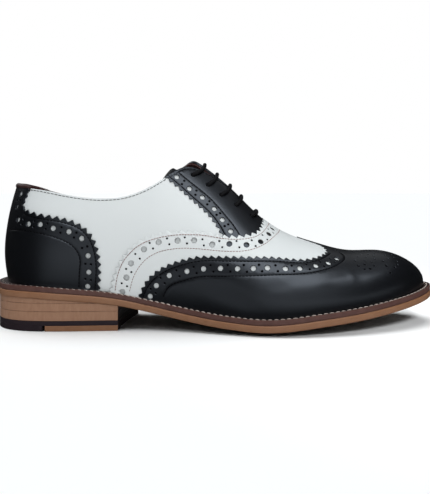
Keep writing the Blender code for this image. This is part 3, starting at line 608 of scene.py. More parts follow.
def normal_lattice():
    """Normals of the upper's outer face on an even lattice, read by normal_at."""
    turns = np.linspace(0, math.pi, TURN_CELLS + 1)
    rows = np.linspace(0, 2, ACROSS_CELLS + 1)
    grid = on_last(np.repeat(turns, len(rows)), np.tile(rows, len(turns))).reshape(len(turns), len(rows), 3)
    wrapped = np.concatenate([grid[1:2, ::-1], grid, grid[-2:-1, ::-1]])
    normals = np.cross(wrapped[2:] - wrapped[:-2], np.gradient(grid, axis=1))
    normals[-1] = (1, 0, 0)
    normals[0, ACROSS_CELLS // 2] = (0, 0, 1)
    return unit(normals)


NORMALS = normal_lattice()


def normal_at(turn, across):
    a = np.clip(np.ravel(turn) / math.pi, 0, 1) * TURN_CELLS
    b = np.clip(np.ravel(across) / 2, 0, 1) * ACROSS_CELLS
    i = np.minimum(a.astype(int), TURN_CELLS - 1)
    j = np.minimum(b.astype(int), ACROSS_CELLS - 1)
    a, b = (a - i)[:, None], (b - j)[:, None]
    low = NORMALS[i, j] * (1 - a) + NORMALS[i + 1, j] * a
    high = NORMALS[i, j + 1] * (1 - a) + NORMALS[i + 1, j + 1] * a
    return unit(low * (1 - b) + high * b)


def creased(turn, across):
    """How far the leather is sunk by the creases, in millimetres; the same on both sides."""
    flat = np.column_stack([place_at(turn), CREASE_GIRTH * np.where(across <= 1, across, 2 - across)])
    sunk = np.zeros(len(flat))
    for start, end, depth, half in CREASES:
        start = np.array(start) * (1, CREASE_GIRTH)
        way = np.array(end) * (1, CREASE_GIRTH) - start
        share = np.clip((flat - start) @ way / (way @ way), 0, 1)
        off = np.linalg.norm(flat - start - share[:, None] * way, axis=1)
        envelope = CREASE_ENDS + 4 * (1 - CREASE_ENDS) * share * (1 - share)
        sunk += depth * np.exp(-(off / half) ** 2) * envelope
    return sunk


def lifted(turn, across, lift):
    """Points of the leather, lift millimetres out from the upper's outer face."""
    turn, across = np.ravel(turn), np.ravel(across)
    lift = np.broadcast_to(np.asarray(lift, float), turn.shape) - creased(turn, across)
    return on_last(turn, across) + normal_at(turn, across) * lift[:, None]


def on_leather(station, rise, side, lift):
    """One point of the leather."""
    return lifted(turn_at(station), over(rise, side), lift)[0]


# Two ways of laying the upper out flat: from the toe back, and round the heel
table_turns = np.linspace(0, math.pi, 721)
table_girth = [girth(table_turns, side) for side in BOTH]
table_heel = lengths_along(np.column_stack([
    place_at(table_turns), section["half"](table_turns) + section["flare"](table_turns),
]))


class ToeFlat:
    """Station along, and distance from the crest across."""

    @staticmethod
    def side_girth(turn, lateral):
        return np.where(lateral, *(np.interp(turn, table_turns, row) for row in table_girth))

    @staticmethod
    def lay(turn, across):
        return np.column_stack([place_at(turn), (across - 1) * ToeFlat.side_girth(turn, across <= 1)])

    @staticmethod
    def lift(flat):
        turn = turn_at(flat[:, 0])
        return turn, 1 + flat[:, 1] / np.maximum(ToeFlat.side_girth(turn, flat[:, 1] <= 0), TINY)


class HeelFlat:
    """Distance round the heel, lateral side negative, and height up the section."""

    @staticmethod
    def lay(turn, across):
        away = np.interp(turn, table_turns, table_heel)
        lateral = np.column_stack([-away, across * HEEL_GIRTH])
        medial = np.column_stack([away, (2 - across) * HEEL_GIRTH])
        return np.where(across[:, None] <= 1, lateral, medial)

    @staticmethod
    def lift(flat):
        turn = np.interp(np.abs(flat[:, 0]), table_heel, table_turns)
        rise = flat[:, 1] / HEEL_GIRTH
        return turn, np.where(flat[:, 0] <= 0, rise, 2 - rise)


def lay(flat_kind, rows, side=-1):
    """Rows of (station, rise) as points of a flat layout."""
    stations, rises = columns(rows)
    return flat_kind.lay(turn_at(stations), over(rises, side))


def curve_through(points, step=0.5):
    """A smooth curve through points, sampled evenly."""
    along = lengths_along(points)
    at = np.linspace(0, along[-1], max(int(along[-1] / step), 2) + 1)
    return np.column_stack([spline(along, column, "odd", "odd")(at) for column in points.T])


def line(flat_kind, rows, side=-1):
    return curve_through(lay(flat_kind, rows, side))


def low_line(flat_kind, stations, side):
    """The feather edge through some stations."""
    return line(flat_kind, [(station, LOW) for station in stations], side)


def moved_in(flat_kind, rows, side, distance):
    """A line beside an edge, as flat points."""
    points = line(flat_kind, rows, side)
    return points + sideways(unit(np.gradient(points, axis=0))) * distance


def in_space(flat_kind, points, lift=0.0):
    """Flat points on the shoe."""
    return lifted(*flat_kind.lift(points), lift)


def space_along(flat_kind, points):
    """Real lengths along a flat line."""
    return lengths_along(in_space(flat_kind, points))


def pinked(flat_kind, points, pitch=PINK_PITCH, depth=PINK_DEPTH, inwards=0.0):
    """A line cut into teeth with slightly blunt tips; the sign of depth says which side is out."""
    along = space_along(flat_kind, points)
    teeth = max(int(round(along[-1] / pitch)), 1)
    at, out = [0.0], [0.0]
    for tooth in range(teeth):
        for share, level in TOOTH:
            at.append((tooth + share) * along[-1] / teeth)
            out.append(level * depth - inwards * math.copysign(1, depth))
    at = np.array([*at, along[-1]])
    base = at_lengths(points, along, at)
    normal = sideways(unit(at_lengths(points, along, at + NEAR) - at_lengths(points, along, at - NEAR)))
    moved = in_space(flat_kind, base + normal * NEAR / 2) - in_space(flat_kind, base - normal * NEAR / 2)
    scale = NEAR / np.linalg.norm(moved, axis=1)
    return base + normal * (np.array([*out, 0.0]) * scale)[:, None]


def true_shape(flat_kind, centre):
    """2 x 2 matrix from real millimetres on the leather to the flat layout there."""
    step = 0.1
    space = in_space(flat_kind, centre + step * np.array([(1, 0), (-1, 0), (0, 1), (0, -1)]))
    jacobian = np.column_stack([space[0] - space[1], space[2] - space[3]]) / (2 * step)
    values, vectors = np.linalg.eigh(jacobian.T @ jacobian)
    return vectors @ np.diag(values**-0.5) @ vectors.T


def brogue_row(flat_kind, rows, side=-1, radius=BIG_HOLE):
    """Holes as (centre, radius, cut through): big ones at the rows' places, two pinholes between them."""
    centres = lay(flat_kind, rows, side)
    holes = [(centre, radius, True) for centre in centres]
    aside = sideways(unit(np.diff(centres, axis=0))) * PIN_APART
    for middle, off in zip((centres[1:] + centres[:-1]) / 2, aside):
        holes += [(middle - off, PINHOLE, False), (middle + off, PINHOLE, False)]
    return holes


def pulled_in(loop, distance):
    """A loop drawn in to its left by about a distance."""
    way = unit(loop - np.roll(loop, 1, axis=0)) + unit(np.roll(loop, -1, axis=0) - loop)
    way /= np.maximum(np.linalg.norm(way, axis=1, keepdims=True), TINY)
    return loop + sideways(way) * distance


def area_of(loop):
    x, y = loop.T
    return np.sum(x * np.roll(y, -1) - np.roll(x, -1) * y) / 2


def inside(points, loop):
    odd = np.zeros(len(points), bool)
    x, y = points.T
    for (x1, y1), (x2, y2) in zip(loop, np.roll(loop, -1, axis=0)):
        if y1 != y2:
            odd ^= ((y1 > y) != (y2 > y)) & (x < x1 + (y - y1) * (x2 - x1) / (y2 - y1))
    return odd


def without_repeats(loop, least=0.05):
    """A loop without points that nearly coincide."""
    kept = [loop[0]]
    for point in loop[1:]:
        if np.linalg.norm(point - kept[-1]) > least:
            kept.append(point)
    if np.linalg.norm(kept[0] - kept[-1]) < least:
        kept.pop()
    return np.array(kept)


def full_thickness(flat):
    """Thickness that a panel loses, where it loses none."""
    return np.zeros(len(flat))


def thin_under(flat_kind, outlines, depth):
    """How much thinner a panel is within some outlines on both sides."""
    loops = [lay(flat_kind, rows, side) for rows in outlines for side in BOTH]

    def thinned(flat):
        return depth * np.any([inside(flat, loop) for loop in loops], axis=0)

    return thinned


def cut_edges(flat_kind, loop, holes):
    """Each cut edge as its ring on the face, held back by the rim's rounding, and its ring at the cut."""
    edges = [(pulled_in(loop, RIM), loop)]
    for centre, radius, through in holes:
        corners = HOLE_CORNERS if through else PIN_CORNERS
        angle = -np.linspace(0, 2 * math.pi, corners, endpoint=False)
        ring = np.column_stack([np.cos(angle), np.sin(angle)]) @ true_shape(flat_kind, centre)
        edges.append((centre + (radius + RIM) * ring, centre + radius * ring))
    return edges


def grooves_of(flat_kind, lines, loop, tree, first):
    """Three lines of points along each row of stitches, clear of the cut edges: points, depths and edges."""
    drawn, sunk, edges = [], [], []
    for points in lines:
        along = space_along(flat_kind, points)
        base = at_lengths(points, along, np.arange(GROOVE_STEP / 2, along[-1] - GROOVE_STEP / 2, GROOVE_STEP))
        aside = sideways(unit(np.gradient(base, axis=0))) * GROOVE_HALF
        clear = inside(base, loop) & (distances(tree, base) > GROOVE_HALF + GROOVE_CLEAR)
        for offset, sink in ((1, 0.0), (0, GROOVE), (-1, 0.0)):
            for k in np.nonzero(clear)[0]:
                if k and clear[k - 1]:
                    edges.append((first + len(drawn) - 1, first + len(drawn)))
                drawn.append(base[k] + offset * aside[k])
                sunk.append(sink)
    return np.array(drawn).reshape(-1, 2), sunk, edges


def grid_within(loop, spacing, keep_off):
    """A triangular grid of points in a loop, without those that keep_off names."""
    low, high = loop.min(axis=0), loop.max(axis=0)
    rows = []
    for k, y in enumerate(np.arange(low[1], high[1], spacing * ROW_SPACING)):
        x = np.arange(low[0] + (k % 2) * spacing / 2, high[0], spacing)
        rows.append(np.column_stack([x, np.full(len(x), y)]))
    grid = np.concatenate(rows)
    grid = grid[inside(grid, loop)]
    return grid[~np.array([keep_off(point) for point in grid])]


def leather(flat_kind, loop, holes, faces, spacing, grooves=(), thinned=full_thickness):
    """A closed panel of leather with punched holes, as vertices, faces, faces in pinholes and cut walls."""
    loop = without_repeats(loop)
    if area_of(loop) < 0:
        loop = loop[::-1]
    edges = cut_edges(flat_kind, loop, holes)
    tops, cuts = (np.concatenate(rings) for rings in zip(*edges))
    sizes = [len(top) for top, _ in edges]
    owner = np.repeat(np.arange(len(edges)), sizes)
    starts = np.cumsum([0, *sizes[:-1]])
    tree = tree_of(tops)
    drawn, drawn_sink, constraints = grooves_of(flat_kind, grooves, loop, tree, len(tops))
    groove_tree = tree_of(drawn)

    def crowded(point):
        if len(drawn) and groove_tree.find((*point, 0))[2] <= GROOVE_ROOM:
            return True
        _, nearest, distance = tree.find((*point, 0))
        if distance <= EDGE_ROOM * spacing:
            return True
        if owner[nearest] == 0:
            return False
        centre = holes[owner[nearest] - 1][0]
        return np.linalg.norm(point - centre) < np.linalg.norm(tops[nearest] - centre) + HOLE_ROOM

    points = np.concatenate([tops, drawn, grid_within(loop, spacing, crowded)])
    for start, size in zip(starts, sizes):
        constraints += around(int(start), size)
    flat, _, triangles, origin, _, _ = delaunay_2d_cdt([Vector(p) for p in points], constraints, [], 1, TINY)
    flat = np.array([tuple(p) for p in flat])
    count = len(flat)
    ring_of, place_of, sunk = np.full(count, -1), np.full(len(tops), -1), np.zeros(count)
    for k, sources in enumerate(origin):
        for source in sources:
            if source < len(tops):
                ring_of[k] = owner[source]
                place_of[source] = k
            elif source < len(tops) + len(drawn):
                sunk[k] = drawn_sink[source - len(tops)]

    top_faces, under_faces = [], []
    for triangle in triangles:
        rings = {ring_of[k] for k in triangle}
        hole = rings.pop() if len(rings) == 1 else 0
        if hole <= 0:
            top_faces.append(tuple(triangle))
        if hole <= 0 or not holes[hole - 1][2]:
            under_faces.append(tuple(triangle))
    under = flat.copy()
    under[place_of] = cuts
    verts = np.concatenate([
        in_space(flat_kind, flat, faces[1] - sunk - thinned(flat)),
        in_space(flat_kind, under, faces[0]),
        in_space(flat_kind, cuts, faces[1] - RIM - thinned(cuts)),
        in_space(flat_kind, cuts, faces[1] - PIN_DEPTH - thinned(cuts)),
    ])
    built = top_faces + flipped(under_faces, count)
    dark, walls = [], []
    rim, hole_floor = 2 * count, 2 * count + len(cuts)
    for number, (start, size) in enumerate(zip(starts, sizes)):
        blind = number > 0 and not holes[number - 1][2]
        for here, there in around(start, size):
            a, b = place_of[here], place_of[there]
            built.append((rim + here, rim + there, b, a))
            if blind:
                dark.append((hole_floor + here, hole_floor + there, rim + there, rim + here))
            else:
                walls.append((count + a, count + b, rim + there, rim + here))
        if blind:
            dark.append(tuple(hole_floor + start + k for k in reversed(range(size))))
    return verts, built, dark, walls


def material(name, colour, second, mottle, roughness, specular, grain=0.0, grain_size=0.6, tall=1.0):
    """Two tones mixed by a soft noise, and a fine grain; tall below 1 draws both out into upright fibres."""
    made = bpy.data.materials.new(name)
    made.use_nodes = True
    nodes, links = made.node_tree.nodes, made.node_tree.links
    shader = nodes["Principled BSDF"]
    shader.inputs["Base Color"].default_value = (*colour, 1)
    shader.inputs["Roughness"].default_value = roughness
    shader.inputs["Specular IOR Level"].default_value = specular
    if not second and not grain:
        return made
    place = nodes.new("ShaderNodeTexCoord")
    drawn_out = nodes.new("ShaderNodeMapping")
    drawn_out.inputs["Scale"].default_value = (1, 1, tall)
    links.new(place.outputs["Object"], drawn_out.inputs["Vector"])

    def noise(size, detail):
        cells = nodes.new("ShaderNodeTexNoise")
        cells.inputs["Scale"].default_value = 1 / (size * MM)
        cells.inputs["Detail"].default_value = detail
        links.new(drawn_out.outputs["Vector"], cells.inputs["Vector"])
        return cells.outputs["Fac"]

    if second:
        mix = nodes.new("ShaderNodeMix")
        mix.data_type = "RGBA"
        mix.inputs["A"].default_value = (*colour, 1)
        mix.inputs["B"].default_value = (*second, 1)
        links.new(noise(mottle, 4), mix.inputs["Factor"])
        links.new(mix.outputs["Result"], shader.inputs["Base Color"])
    if grain:
        bump = nodes.new("ShaderNodeBump")
        bump.inputs["Strength"].default_value = grain
        bump.inputs["Distance"].default_value = GRAIN_HEIGHT * MM
        links.new(noise(grain_size, 3), bump.inputs["Height"])
        links.new(bump.outputs["Normal"], shader.inputs["Normal"])
    return made


LOOKS = {name: material(name, *finish) for name, finish in FINISHES.items()}
black_shader = LOOKS["black_calf"].node_tree.nodes["Principled BSDF"]
black_shader.inputs["Specular Tint"].default_value = BLACK_TINT
PIECES = []


def piece(name, verts, faces, look, nodes=(), slot=None, sharp=40.0, **others):
    """A mesh in the row frame that rides with the shoe; others are faces with looks of their own."""
    mesh = bpy.data.meshes.new(name)
    placed = (np.asarray(verts, float) - (LENGTH / 2, MIDDLE_Y, 0)) * MM
    every, index = [], []
    for number, group in enumerate((faces, *others.values())):
        every += [tuple(int(k) for k in face) for face in group]
        index += [number] * len(group)
    mesh.from_pydata(placed.tolist(), [], every)
    mesh.polygons.foreach_set("material_index", index)
    bm = bmesh.new()
    bm.from_mesh(mesh)
    bmesh.ops.remove_doubles(bm, verts=bm.verts[:], dist=MERGE * MM)
    bmesh.ops.dissolve_degenerate(bm, edges=bm.edges[:], dist=MERGE / 2 * MM)
    loose = [v for v in bm.verts if not v.link_faces]
    bmesh.ops.delete(bm, geom=loose, context="VERTS")
    bm.to_mesh(mesh)
    bm.free()
    for name_of_look in (look, *others):
        mesh.materials.append(LOOKS[name_of_look])
    mesh.shade_smooth()
    mesh.set_sharp_from_angle(angle=math.radians(sharp))
    made = bpy.data.objects.new(name, mesh)
    bpy.context.scene.collection.objects.link(made)
    PIECES.append(made)
    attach(made, "root")
    if nodes:
        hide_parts(*nodes)


def joined(parts):
    verts, faces = [], []
    for part_verts, part_faces in parts:
        first = sum(len(v) for v in verts)
        verts.append(part_verts)
        faces += [tuple(first + k for k in face) for face in part_faces]
    return np.concatenate(verts), faces


def add_quarters():
    """White base of the shoe's back half; it ends under the facings and the vamp."""
    halves = []
    for side in BOTH:
        collar = line(HeelFlat, TOPLINE[side] + COLLAR_END[side][:1], side)
        under = line(HeelFlat, COLLAR_END[side][:1] + QUARTER_UNDER, side)
        halves.append(np.concatenate([collar, under[1:], low_line(HeelFlat, QUARTER_LOW, side)]))
    loop = np.concatenate([halves[0], halves[1][::-1]])
    thinned = thin_under(HeelFlat, (UNDER_COUNTER, UNDER_FRONT), QUARTER_THIN)
    verts, faces, _, walls = leather(HeelFlat, loop, [], QUARTER, COARSE, (), thinned)
    piece("quarters", verts, faces + walls, "white_calf", ("upper",), "white_leather")


def add_lining():
    """Brown lining all through the inside, a little short of the collar and throat."""
    stations = LINING_STATIONS
    turn = np.repeat(turn_at(stations), LINING_WIDE)
    count = len(turn)
    parts = []
    for side in BOTH:
        edge = columns(TOPLINE[side] + COLLAR_END[side] + THROAT[side] + ((THROAT_END, 1.0), (200, 1.0)))
        top = np.where(stations >= THROAT_END, 1.0, np.interp(stations, *edge) - LINING_SHORT)
        rise = LOW + np.linspace(0, 1, LINING_WIDE) * (top - LOW)[:, None]
        across = over(rise, side).ravel()
        faces = sheet_quads(len(stations), LINING_WIDE)
        feather = [(k, count + k, count + k + LINING_WIDE, k + LINING_WIDE)
                   for k in range(0, count - LINING_WIDE, LINING_WIDE)]
        open_rows = int((stations[:-1] < THROAT_END).sum())
        collar = [tuple(k + LINING_WIDE - 1 for k in quad) for quad in feather[:open_rows]]
        faces += flipped(faces, count) + feather + flipped(collar)
        verts = np.concatenate([lifted(turn, across, lift) for lift in LINING[::-1]])
        parts.append((verts, faces if side < 0 else flipped(faces)))
    piece("lining", *joined(parts), "lining_calf", (), "lining_leather")


def add_collar_binding():
    """The brown lining rolled over the collar's back edge."""
    points = []
    for side, station, _, up in BINDING:
        rise = np.interp(station, *columns(TOPLINE[side]))
        points.append(on_leather(station, rise, side, BINDING_OUT) + (0, 0, up))
    radii = [radius for _, _, radius, _ in BINDING]
    verts, faces = tube(points, radii, BINDING_SIDES, 0.0)
    piece("collar_binding", verts, faces, "collar_binding", (), "lining_leather", 80)


def seam_lines(panel, side):
    """The rows of stitches on one side of a panel, as flat lines."""
    if panel == "counter":
        return [
            line(HeelFlat, COUNTER_STITCH, side),
            moved_in(HeelFlat, COUNTER_EDGE, side, side * (EDGE_STITCH + COUNTER_IN)),
        ]
    if panel == "facing":
        return [
            line(ToeFlat, FACING_STITCH, side),
            moved_in(ToeFlat, FACING_EDGE, side, -side * EDGE_STITCH),
            moved_in(ToeFlat, COLLAR_END[side] + THROAT[side], side, side * THROAT_STITCH),
        ]
    if panel == "wing":
        return [line(ToeFlat, WING_STITCH, side), moved_in(ToeFlat, WING_EDGE, side, side * EDGE_STITCH)]
    if panel == "vamp":
        return [line(ToeFlat, VAMP_OUTER_STITCH, side), line(ToeFlat, VAMP_INNER_STITCH, side)]
    collar = [row for row in TOPLINE[side] if row[0] > COLLAR_STITCH_START] + [COLLAR_END[side][0]]
    return [moved_in(HeelFlat, collar, side, -side * COLLAR_STITCH)]


def seams_of(panel):
    return [points for side in BOTH for points in seam_lines(panel, side)]


def add_black(name, node, *panel):
    """A black panel with dark pinholes."""
    verts, faces, dark, walls = leather(*panel)
    piece(name, verts, faces + walls, "black_calf", (node,), "black_leather", pinhole_shadow=dark)


def add_counter():
    """Black leather round the heel, with a strip up its back."""
    halves, holes = [], []
    for side in BOTH:
        edge = line(HeelFlat, COUNTER_EDGE, side)
        edge = pinked(HeelFlat, edge, COUNTER_PITCH, -side * PINK_DEPTH, COUNTER_IN)
        top = [row for row in TOPLINE[side] if row[0] < COUNTER_EDGE[-1][0]][::-1]
        strip = line(HeelFlat, (COUNTER_EDGE[-1], *BACK_STRIP_EDGE, top[0]), side)
        strip = pinked(HeelFlat, strip, STRIP_PITCH, -side * STRIP_DEPTH)
        halves.append(np.concatenate([edge[:-1], strip, line(HeelFlat, top, side)]))
        holes += brogue_row(HeelFlat, COUNTER_HOLES, side) + brogue_row(HeelFlat, STRIP_HOLES, side)
    low = [low_line(HeelFlat, COUNTER_LOW, side) for side in BOTH]
    loop = np.concatenate([halves[0], halves[1][::-1], low[1][::-1], low[0]])
    add_black("counter_leather", "counter", HeelFlat, loop, holes, COUNTER, COARSE, seams_of("counter"))


def add_facings():
    """The two flaps with the eyelets."""
    thinned = thin_under(ToeFlat, (UNDER_VAMP,), FACING_THIN)
    for side, node in zip(BOTH, ("facing_lateral", "facing_medial")):
        edge = pinked(ToeFlat, line(ToeFlat, FACING_EDGE, side), FACING_PITCH, -side * FACING_DEPTH)
        under = line(ToeFlat, FACING_EDGE[-1:] + FACING_UNDER[:-2], side)
        closing = lay(ToeFlat, FACING_UNDER[-2:], side)
        throat = line(ToeFlat, (COLLAR_END[side] + THROAT[side])[::-1], side)
        loop = np.concatenate([edge, under[1:], closing, throat])
        holes = brogue_row(ToeFlat, FACING_HOLES, side)
        holes += [(centre, EYELET, True) for centre in lay(ToeFlat, EYELETS, side)]
        seams = seam_lines("facing", side)
        add_black(node + "_leather", node, ToeFlat, loop, holes, FACING, FINE, seams, thinned)


def wing_low(side):
    """The feather edge under the wing cap, as flat points."""
    stations = place_at(np.linspace(turn_at(WING_EDGE[0][0]), math.pi, WING_LOW_POINTS))
    return lay(ToeFlat, [(station, LOW) for station in stations], side)


def vamp_thinned():
    """Thickness that the vamp loses: skived along its back edge, and thin where the wing cap lies over it."""
    wing = np.concatenate([
        moved_in(ToeFlat, WING_EDGE, -1, -UNDER_WING), moved_in(ToeFlat, WING_EDGE, 1, UNDER_WING)[::-1],
        wing_low(1), wing_low(-1)[::-1],
    ])
    tree = tree_of(np.concatenate([line(ToeFlat, VAMP_EDGE, side) for side in BOTH]))

    def thinned(flat):
        edge = np.interp(flat[:, 0], *columns(SKIVE)) * np.clip(1 - distances(tree, flat) / SKIVE_WIDTH, 0, 1)
        return np.where(inside(flat, wing), THIN_UNDER_WING, edge)

    return thinned


def add_vamp():
    """White leather between the facings and the wing cap."""
    edge = [pinked(ToeFlat, line(ToeFlat, VAMP_EDGE, side), depth=-side * PINK_DEPTH) for side in BOTH]
    under = [line(ToeFlat, VAMP_UNDER, side) for side in BOTH]
    low = [low_line(ToeFlat, VAMP_LOW, side) for side in BOTH]
    loop = np.concatenate([edge[0], edge[1][-2::-1], low[1], under[1], under[0][-2::-1], low[0][::-1]])
    holes = brogue_row(ToeFlat, VAMP_HOLES, 1, VAMP_HOLE)
    del holes[len(VAMP_HOLES) - 1]  # the one on the crest comes with the lateral row
    holes += brogue_row(ToeFlat, VAMP_HOLES, -1, VAMP_HOLE)
    verts, faces, dark, walls = leather(ToeFlat, loop, holes, VAMP, MIDDLING, (), vamp_thinned())
    # The cut walls of the holes and the pinked edge take a dark grey that is partly painted shade
    looks = {"pinhole_shadow": dark, "cut_edge_and_shade": walls}
    piece("vamp_leather", verts, faces, "white_calf", ("vamp",), "white_leather", **looks)


def add_wing_cap():
    """Black toe cap with wings, with a row of holes along its edge and a medallion on the toe."""
    lines, holes = [], []
    for station, off, radius in MEDALLION:
        for sign in (BOTH if off else (1,)):
            holes.append((np.array((station, sign * off), float), radius, False))
    for side in BOTH:
        edge, peak = (line(ToeFlat, rows, side) for rows in (WING_EDGE, WING_PEAK))
        edge, peak = (pinked(ToeFlat, row, depth=-side * WING_DEPTH) for row in (edge, peak))
        lines.append(np.concatenate([edge[:-1], peak]))
        holes += brogue_row(ToeFlat, WING_HOLES, side)
    loop = np.concatenate([lines[0], lines[1][-2::-1], wing_low(1), wing_low(-1)[::-1]])
    add_black("wing_cap_leather", "wing_cap", ToeFlat, loop, holes, WING, FINE, seams_of("wing"))


def stitch_shapes(middle, ahead, behind, up, radius):
    """Short bowed threads, sunk at both ends; all of them are worked out at once."""
    way = ahead - behind
    aside = unit(np.cross(up, way))
    rings = []
    for level in STITCH_LEVELS:
        swell = radius * math.sqrt(1 - level**4)
        centre = middle + way * level / 2 + up * radius * (STITCH_SUNK - STITCH_BOW * level**2)
        for angle in np.arange(STITCH_ROUND) * 2 * math.pi / STITCH_ROUND:
            rings.append(centre + swell * (up * math.cos(angle) + aside * math.sin(angle)))
    rings += [middle + way * end / 2 - up * radius * STITCH_SUNK for end in BOTH]
    verts = np.stack(rings, axis=1)
    size = verts.shape[1]
    faces = ring_quads(len(STITCH_LEVELS), STITCH_ROUND)
    faces += [(size - 2, b, a) for a, b in around(0, STITCH_ROUND)]
    faces += [(size - 1, a, b) for a, b in around(size - 2 - STITCH_ROUND, STITCH_ROUND)]
    every = [tuple(n * size + k for k in face) for n in range(len(verts)) for face in faces]
    return verts.reshape(-1, 3), every


def stitches_on(flat_kind, points, lift, pitch, length, radius):
    along = space_along(flat_kind, points)
    at = np.arange(pitch / 2 + STITCH_START, along[-1] - STITCH_STOP, pitch)
    flat = [at_lengths(points, along, at + part * length / 2) for part in (0, 1, -1)]
    places = [in_space(flat_kind, row, lift) for row in flat]
    return stitch_shapes(*places, normal_at(*flat_kind.lift(flat[0])), radius)


def add_stitches():
    """Every row of stitches on the upper, black on black leather and along the collar, brown on the vamp."""
    seams = (
        ("counter", "black", HeelFlat, COUNTER[1] - THREAD_SUNK, PANEL_THREAD),
        ("facing", "black", ToeFlat, FACING[1] - THREAD_SUNK, PANEL_THREAD),
        ("wing", "black", ToeFlat, WING[1] - THREAD_SUNK, PANEL_THREAD),
        ("collar", "black", HeelFlat, QUARTER[1], COLLAR_THREAD),
        ("vamp", "brown", ToeFlat, VAMP[1] - THREAD_SUNK / 2, VAMP_THREAD),
    )
    made = {"black": [], "brown": []}
    for panel, colour, flat_kind, lift, thread in seams:
        made[colour] += [stitches_on(flat_kind, points, lift, *thread) for points in seams_of(panel)]
    piece("panel_stitches", *joined(made["black"]), "black_thread", (), "black_leather")
    piece("vamp_stitches", *joined(made["brown"]), "brown_thread", (), "white_leather")


def add_tongue():
    """Black leather under the throat, its top edge rolled down."""
    half = spline(*columns(TONGUE), "odd", "odd")
    sink = spline(*columns(TONGUE_SINK), "odd", "even")
    turns = turn_at(TONGUE_STATIONS)
    turn = np.repeat(turns, TONGUE_WIDE)
    across = (1 + half(TONGUE_STATIONS)[:, None] * np.linspace(-1, 1, TONGUE_WIDE)).ravel()
    down = normal_at(turns, np.ones(len(turns))) * sink(TONGUE_STATIONS)[:, None]
    down = np.repeat(down, TONGUE_WIDE, axis=0)
    verts = np.concatenate([lifted(turn, across, lift) - down for lift in TONGUE_FACES[::-1]])
    count = len(turn)
    faces = sheet_quads(len(turns), TONGUE_WIDE)
    faces += flipped(faces, count)
    number = np.arange(count).reshape(-1, TONGUE_WIDE)
    rim = np.concatenate([number[0], number[1:, -1], number[-1, -2::-1], number[-2:0:-1, 0]])
    faces += [(here, there, count + there, count + here) for here, there in zip(rim, np.roll(rim, -1))]
    piece("tongue_leather", verts, faces, "tongue_calf", ("tongue",), "black_leather", 60)


def tube(points, radius, sides=12, weave=0.06):
    """A cord along points in space, with a weave on its surface; its radius may change along it."""
    points = np.array(points)
    along = lengths_along(points)
    path = curve_through(points, TUBE_STEP)
    at = np.linspace(0, along[-1], len(path))
    wide = np.interp(at, along, np.broadcast_to(radius, len(points)))
    up = np.array((0.0, 0.0, 1.0))
    rings = []
    for centre, ahead, length, size in zip(path, unit(np.gradient(path, axis=0)), at, wide):
        up = unit(up - ahead * np.dot(up, ahead))
        aside = np.cross(ahead, up)
        for angle in np.arange(sides) * 2 * math.pi / sides:
            strands = math.cos(3 * angle + WEAVE_TWIST * length) * math.cos(3 * angle - WEAVE_TWIST * length)
            arm = up * math.cos(angle) + aside * math.sin(angle)
            rings.append(centre + size * (1 + weave * strands) * arm)
    first = tuple(range(sides))
    faces = flipped(ring_quads(len(path), sides)) + [first] + flipped([first], len(rings) - sides)
    return np.array(rings), faces


def lace_bar(eyelet, start):
    """Up through one eyelet, over the throat and down through the other; start is the side it comes from."""
    station, rise = EYELETS[eyelet]
    up, down = ([on_leather(station, rise, side, lift) for lift in LACE_DIVE] for side in BOTH)
    bar = []
    for share in np.linspace(-BAR_REACH, BAR_REACH, 11):
        forward = BAR_FORWARD[eyelet] * (1 - abs(share) ** BAR_HOOK)
        height = LACE_OVER - LACE_SAG * (1 - share**2)
        bar.append(on_leather(station + forward, 1 + share * (1 - rise), -1, height))
    points = up + bar + down[::-1]
    return points if start < 0 else points[::-1]


def lace_run(here, there, side, aside):
    """A hidden run under a facing from one eyelet to another, passing beside those between."""
    start, end = np.array(EYELETS)[[here, there]]
    points = []
    for share in RUN_SHARES:
        station, rise = start + (end - start) * share
        points.append(on_leather(station, rise + aside * 4 * share * (1 - share), side, LACE_UNDER))
    return points


def add_lace():
    """One cord: bars over the throat, hidden runs between the eyelets, both ends at the top eyelets."""
    points = []
    for here, there, side, aside in LACE_ROUTE:
        points += lace_run(here, there, side, aside) + lace_bar(there, side)
    nodes = tuple("lace_bar_%d" % k for k in range(1, 6))
    piece("lace", *tube(points, LACE_RADIUS), "lace_cord", nodes, "lace_cord", 80)


def edge_sides(turn, span, half, swing, inset):
    """Stations and both sides of an outline, drawn in by inset."""
    half = np.maximum(half - inset * np.sqrt(np.maximum(np.sin(turn), 0)), 0)
    return place_at(turn, (span[0] + inset, span[1] - inset)), swing - half, swing + half


def sole_side(turn, inset):
    span = (SOLE_SPAN[0] + BACK_TRIM, SOLE_SPAN[1] + TOE_EXTRA)
    return edge_sides(turn, span, sole_half(turn), sole_swing(turn), inset)


def feather_side(turn, inset):
    return edge_sides(turn, UPPER_SPAN, section["half"](turn), section["swing"](turn), inset)


def ring_at(edge, inset, height):
    """A closed ring round an outline: out along the lateral side and back along the medial side."""
    x, left, right = edge(SOLE_TURNS, inset)
    xs = np.concatenate([x, x[-2:0:-1]])
    ys = np.concatenate([left, right[-2:0:-1]])
    return np.column_stack([xs, ys, sole_bottom(xs, ys) + height])


def plate(edge, shape):
    """A curved plate with rings up its edge: vertices, faces, and the faces of its bottom."""
    rings = [ring_at(edge, inset, height) for inset, height in shape]
    size = len(rings[0])
    verts, grids = [np.concatenate(rings)], []
    for inset, height in (shape[0], shape[-1]):
        x, left, right = edge(SOLE_TURNS, inset)
        xs = np.repeat(x[:, None], PLATE_WIDE, axis=1)
        ys = left[:, None] + (right - left)[:, None] * np.linspace(0, 1, PLATE_WIDE)
        grids.append(sheet_quads(len(x), PLATE_WIDE, sum(len(v) for v in verts)))
        verts.append(np.stack([xs, ys, sole_bottom(xs, ys) + height], axis=2).reshape(-1, 3))
    bottom, top = grids
    return np.concatenate(verts), ring_quads(len(rings), size) + top, flipped(bottom)


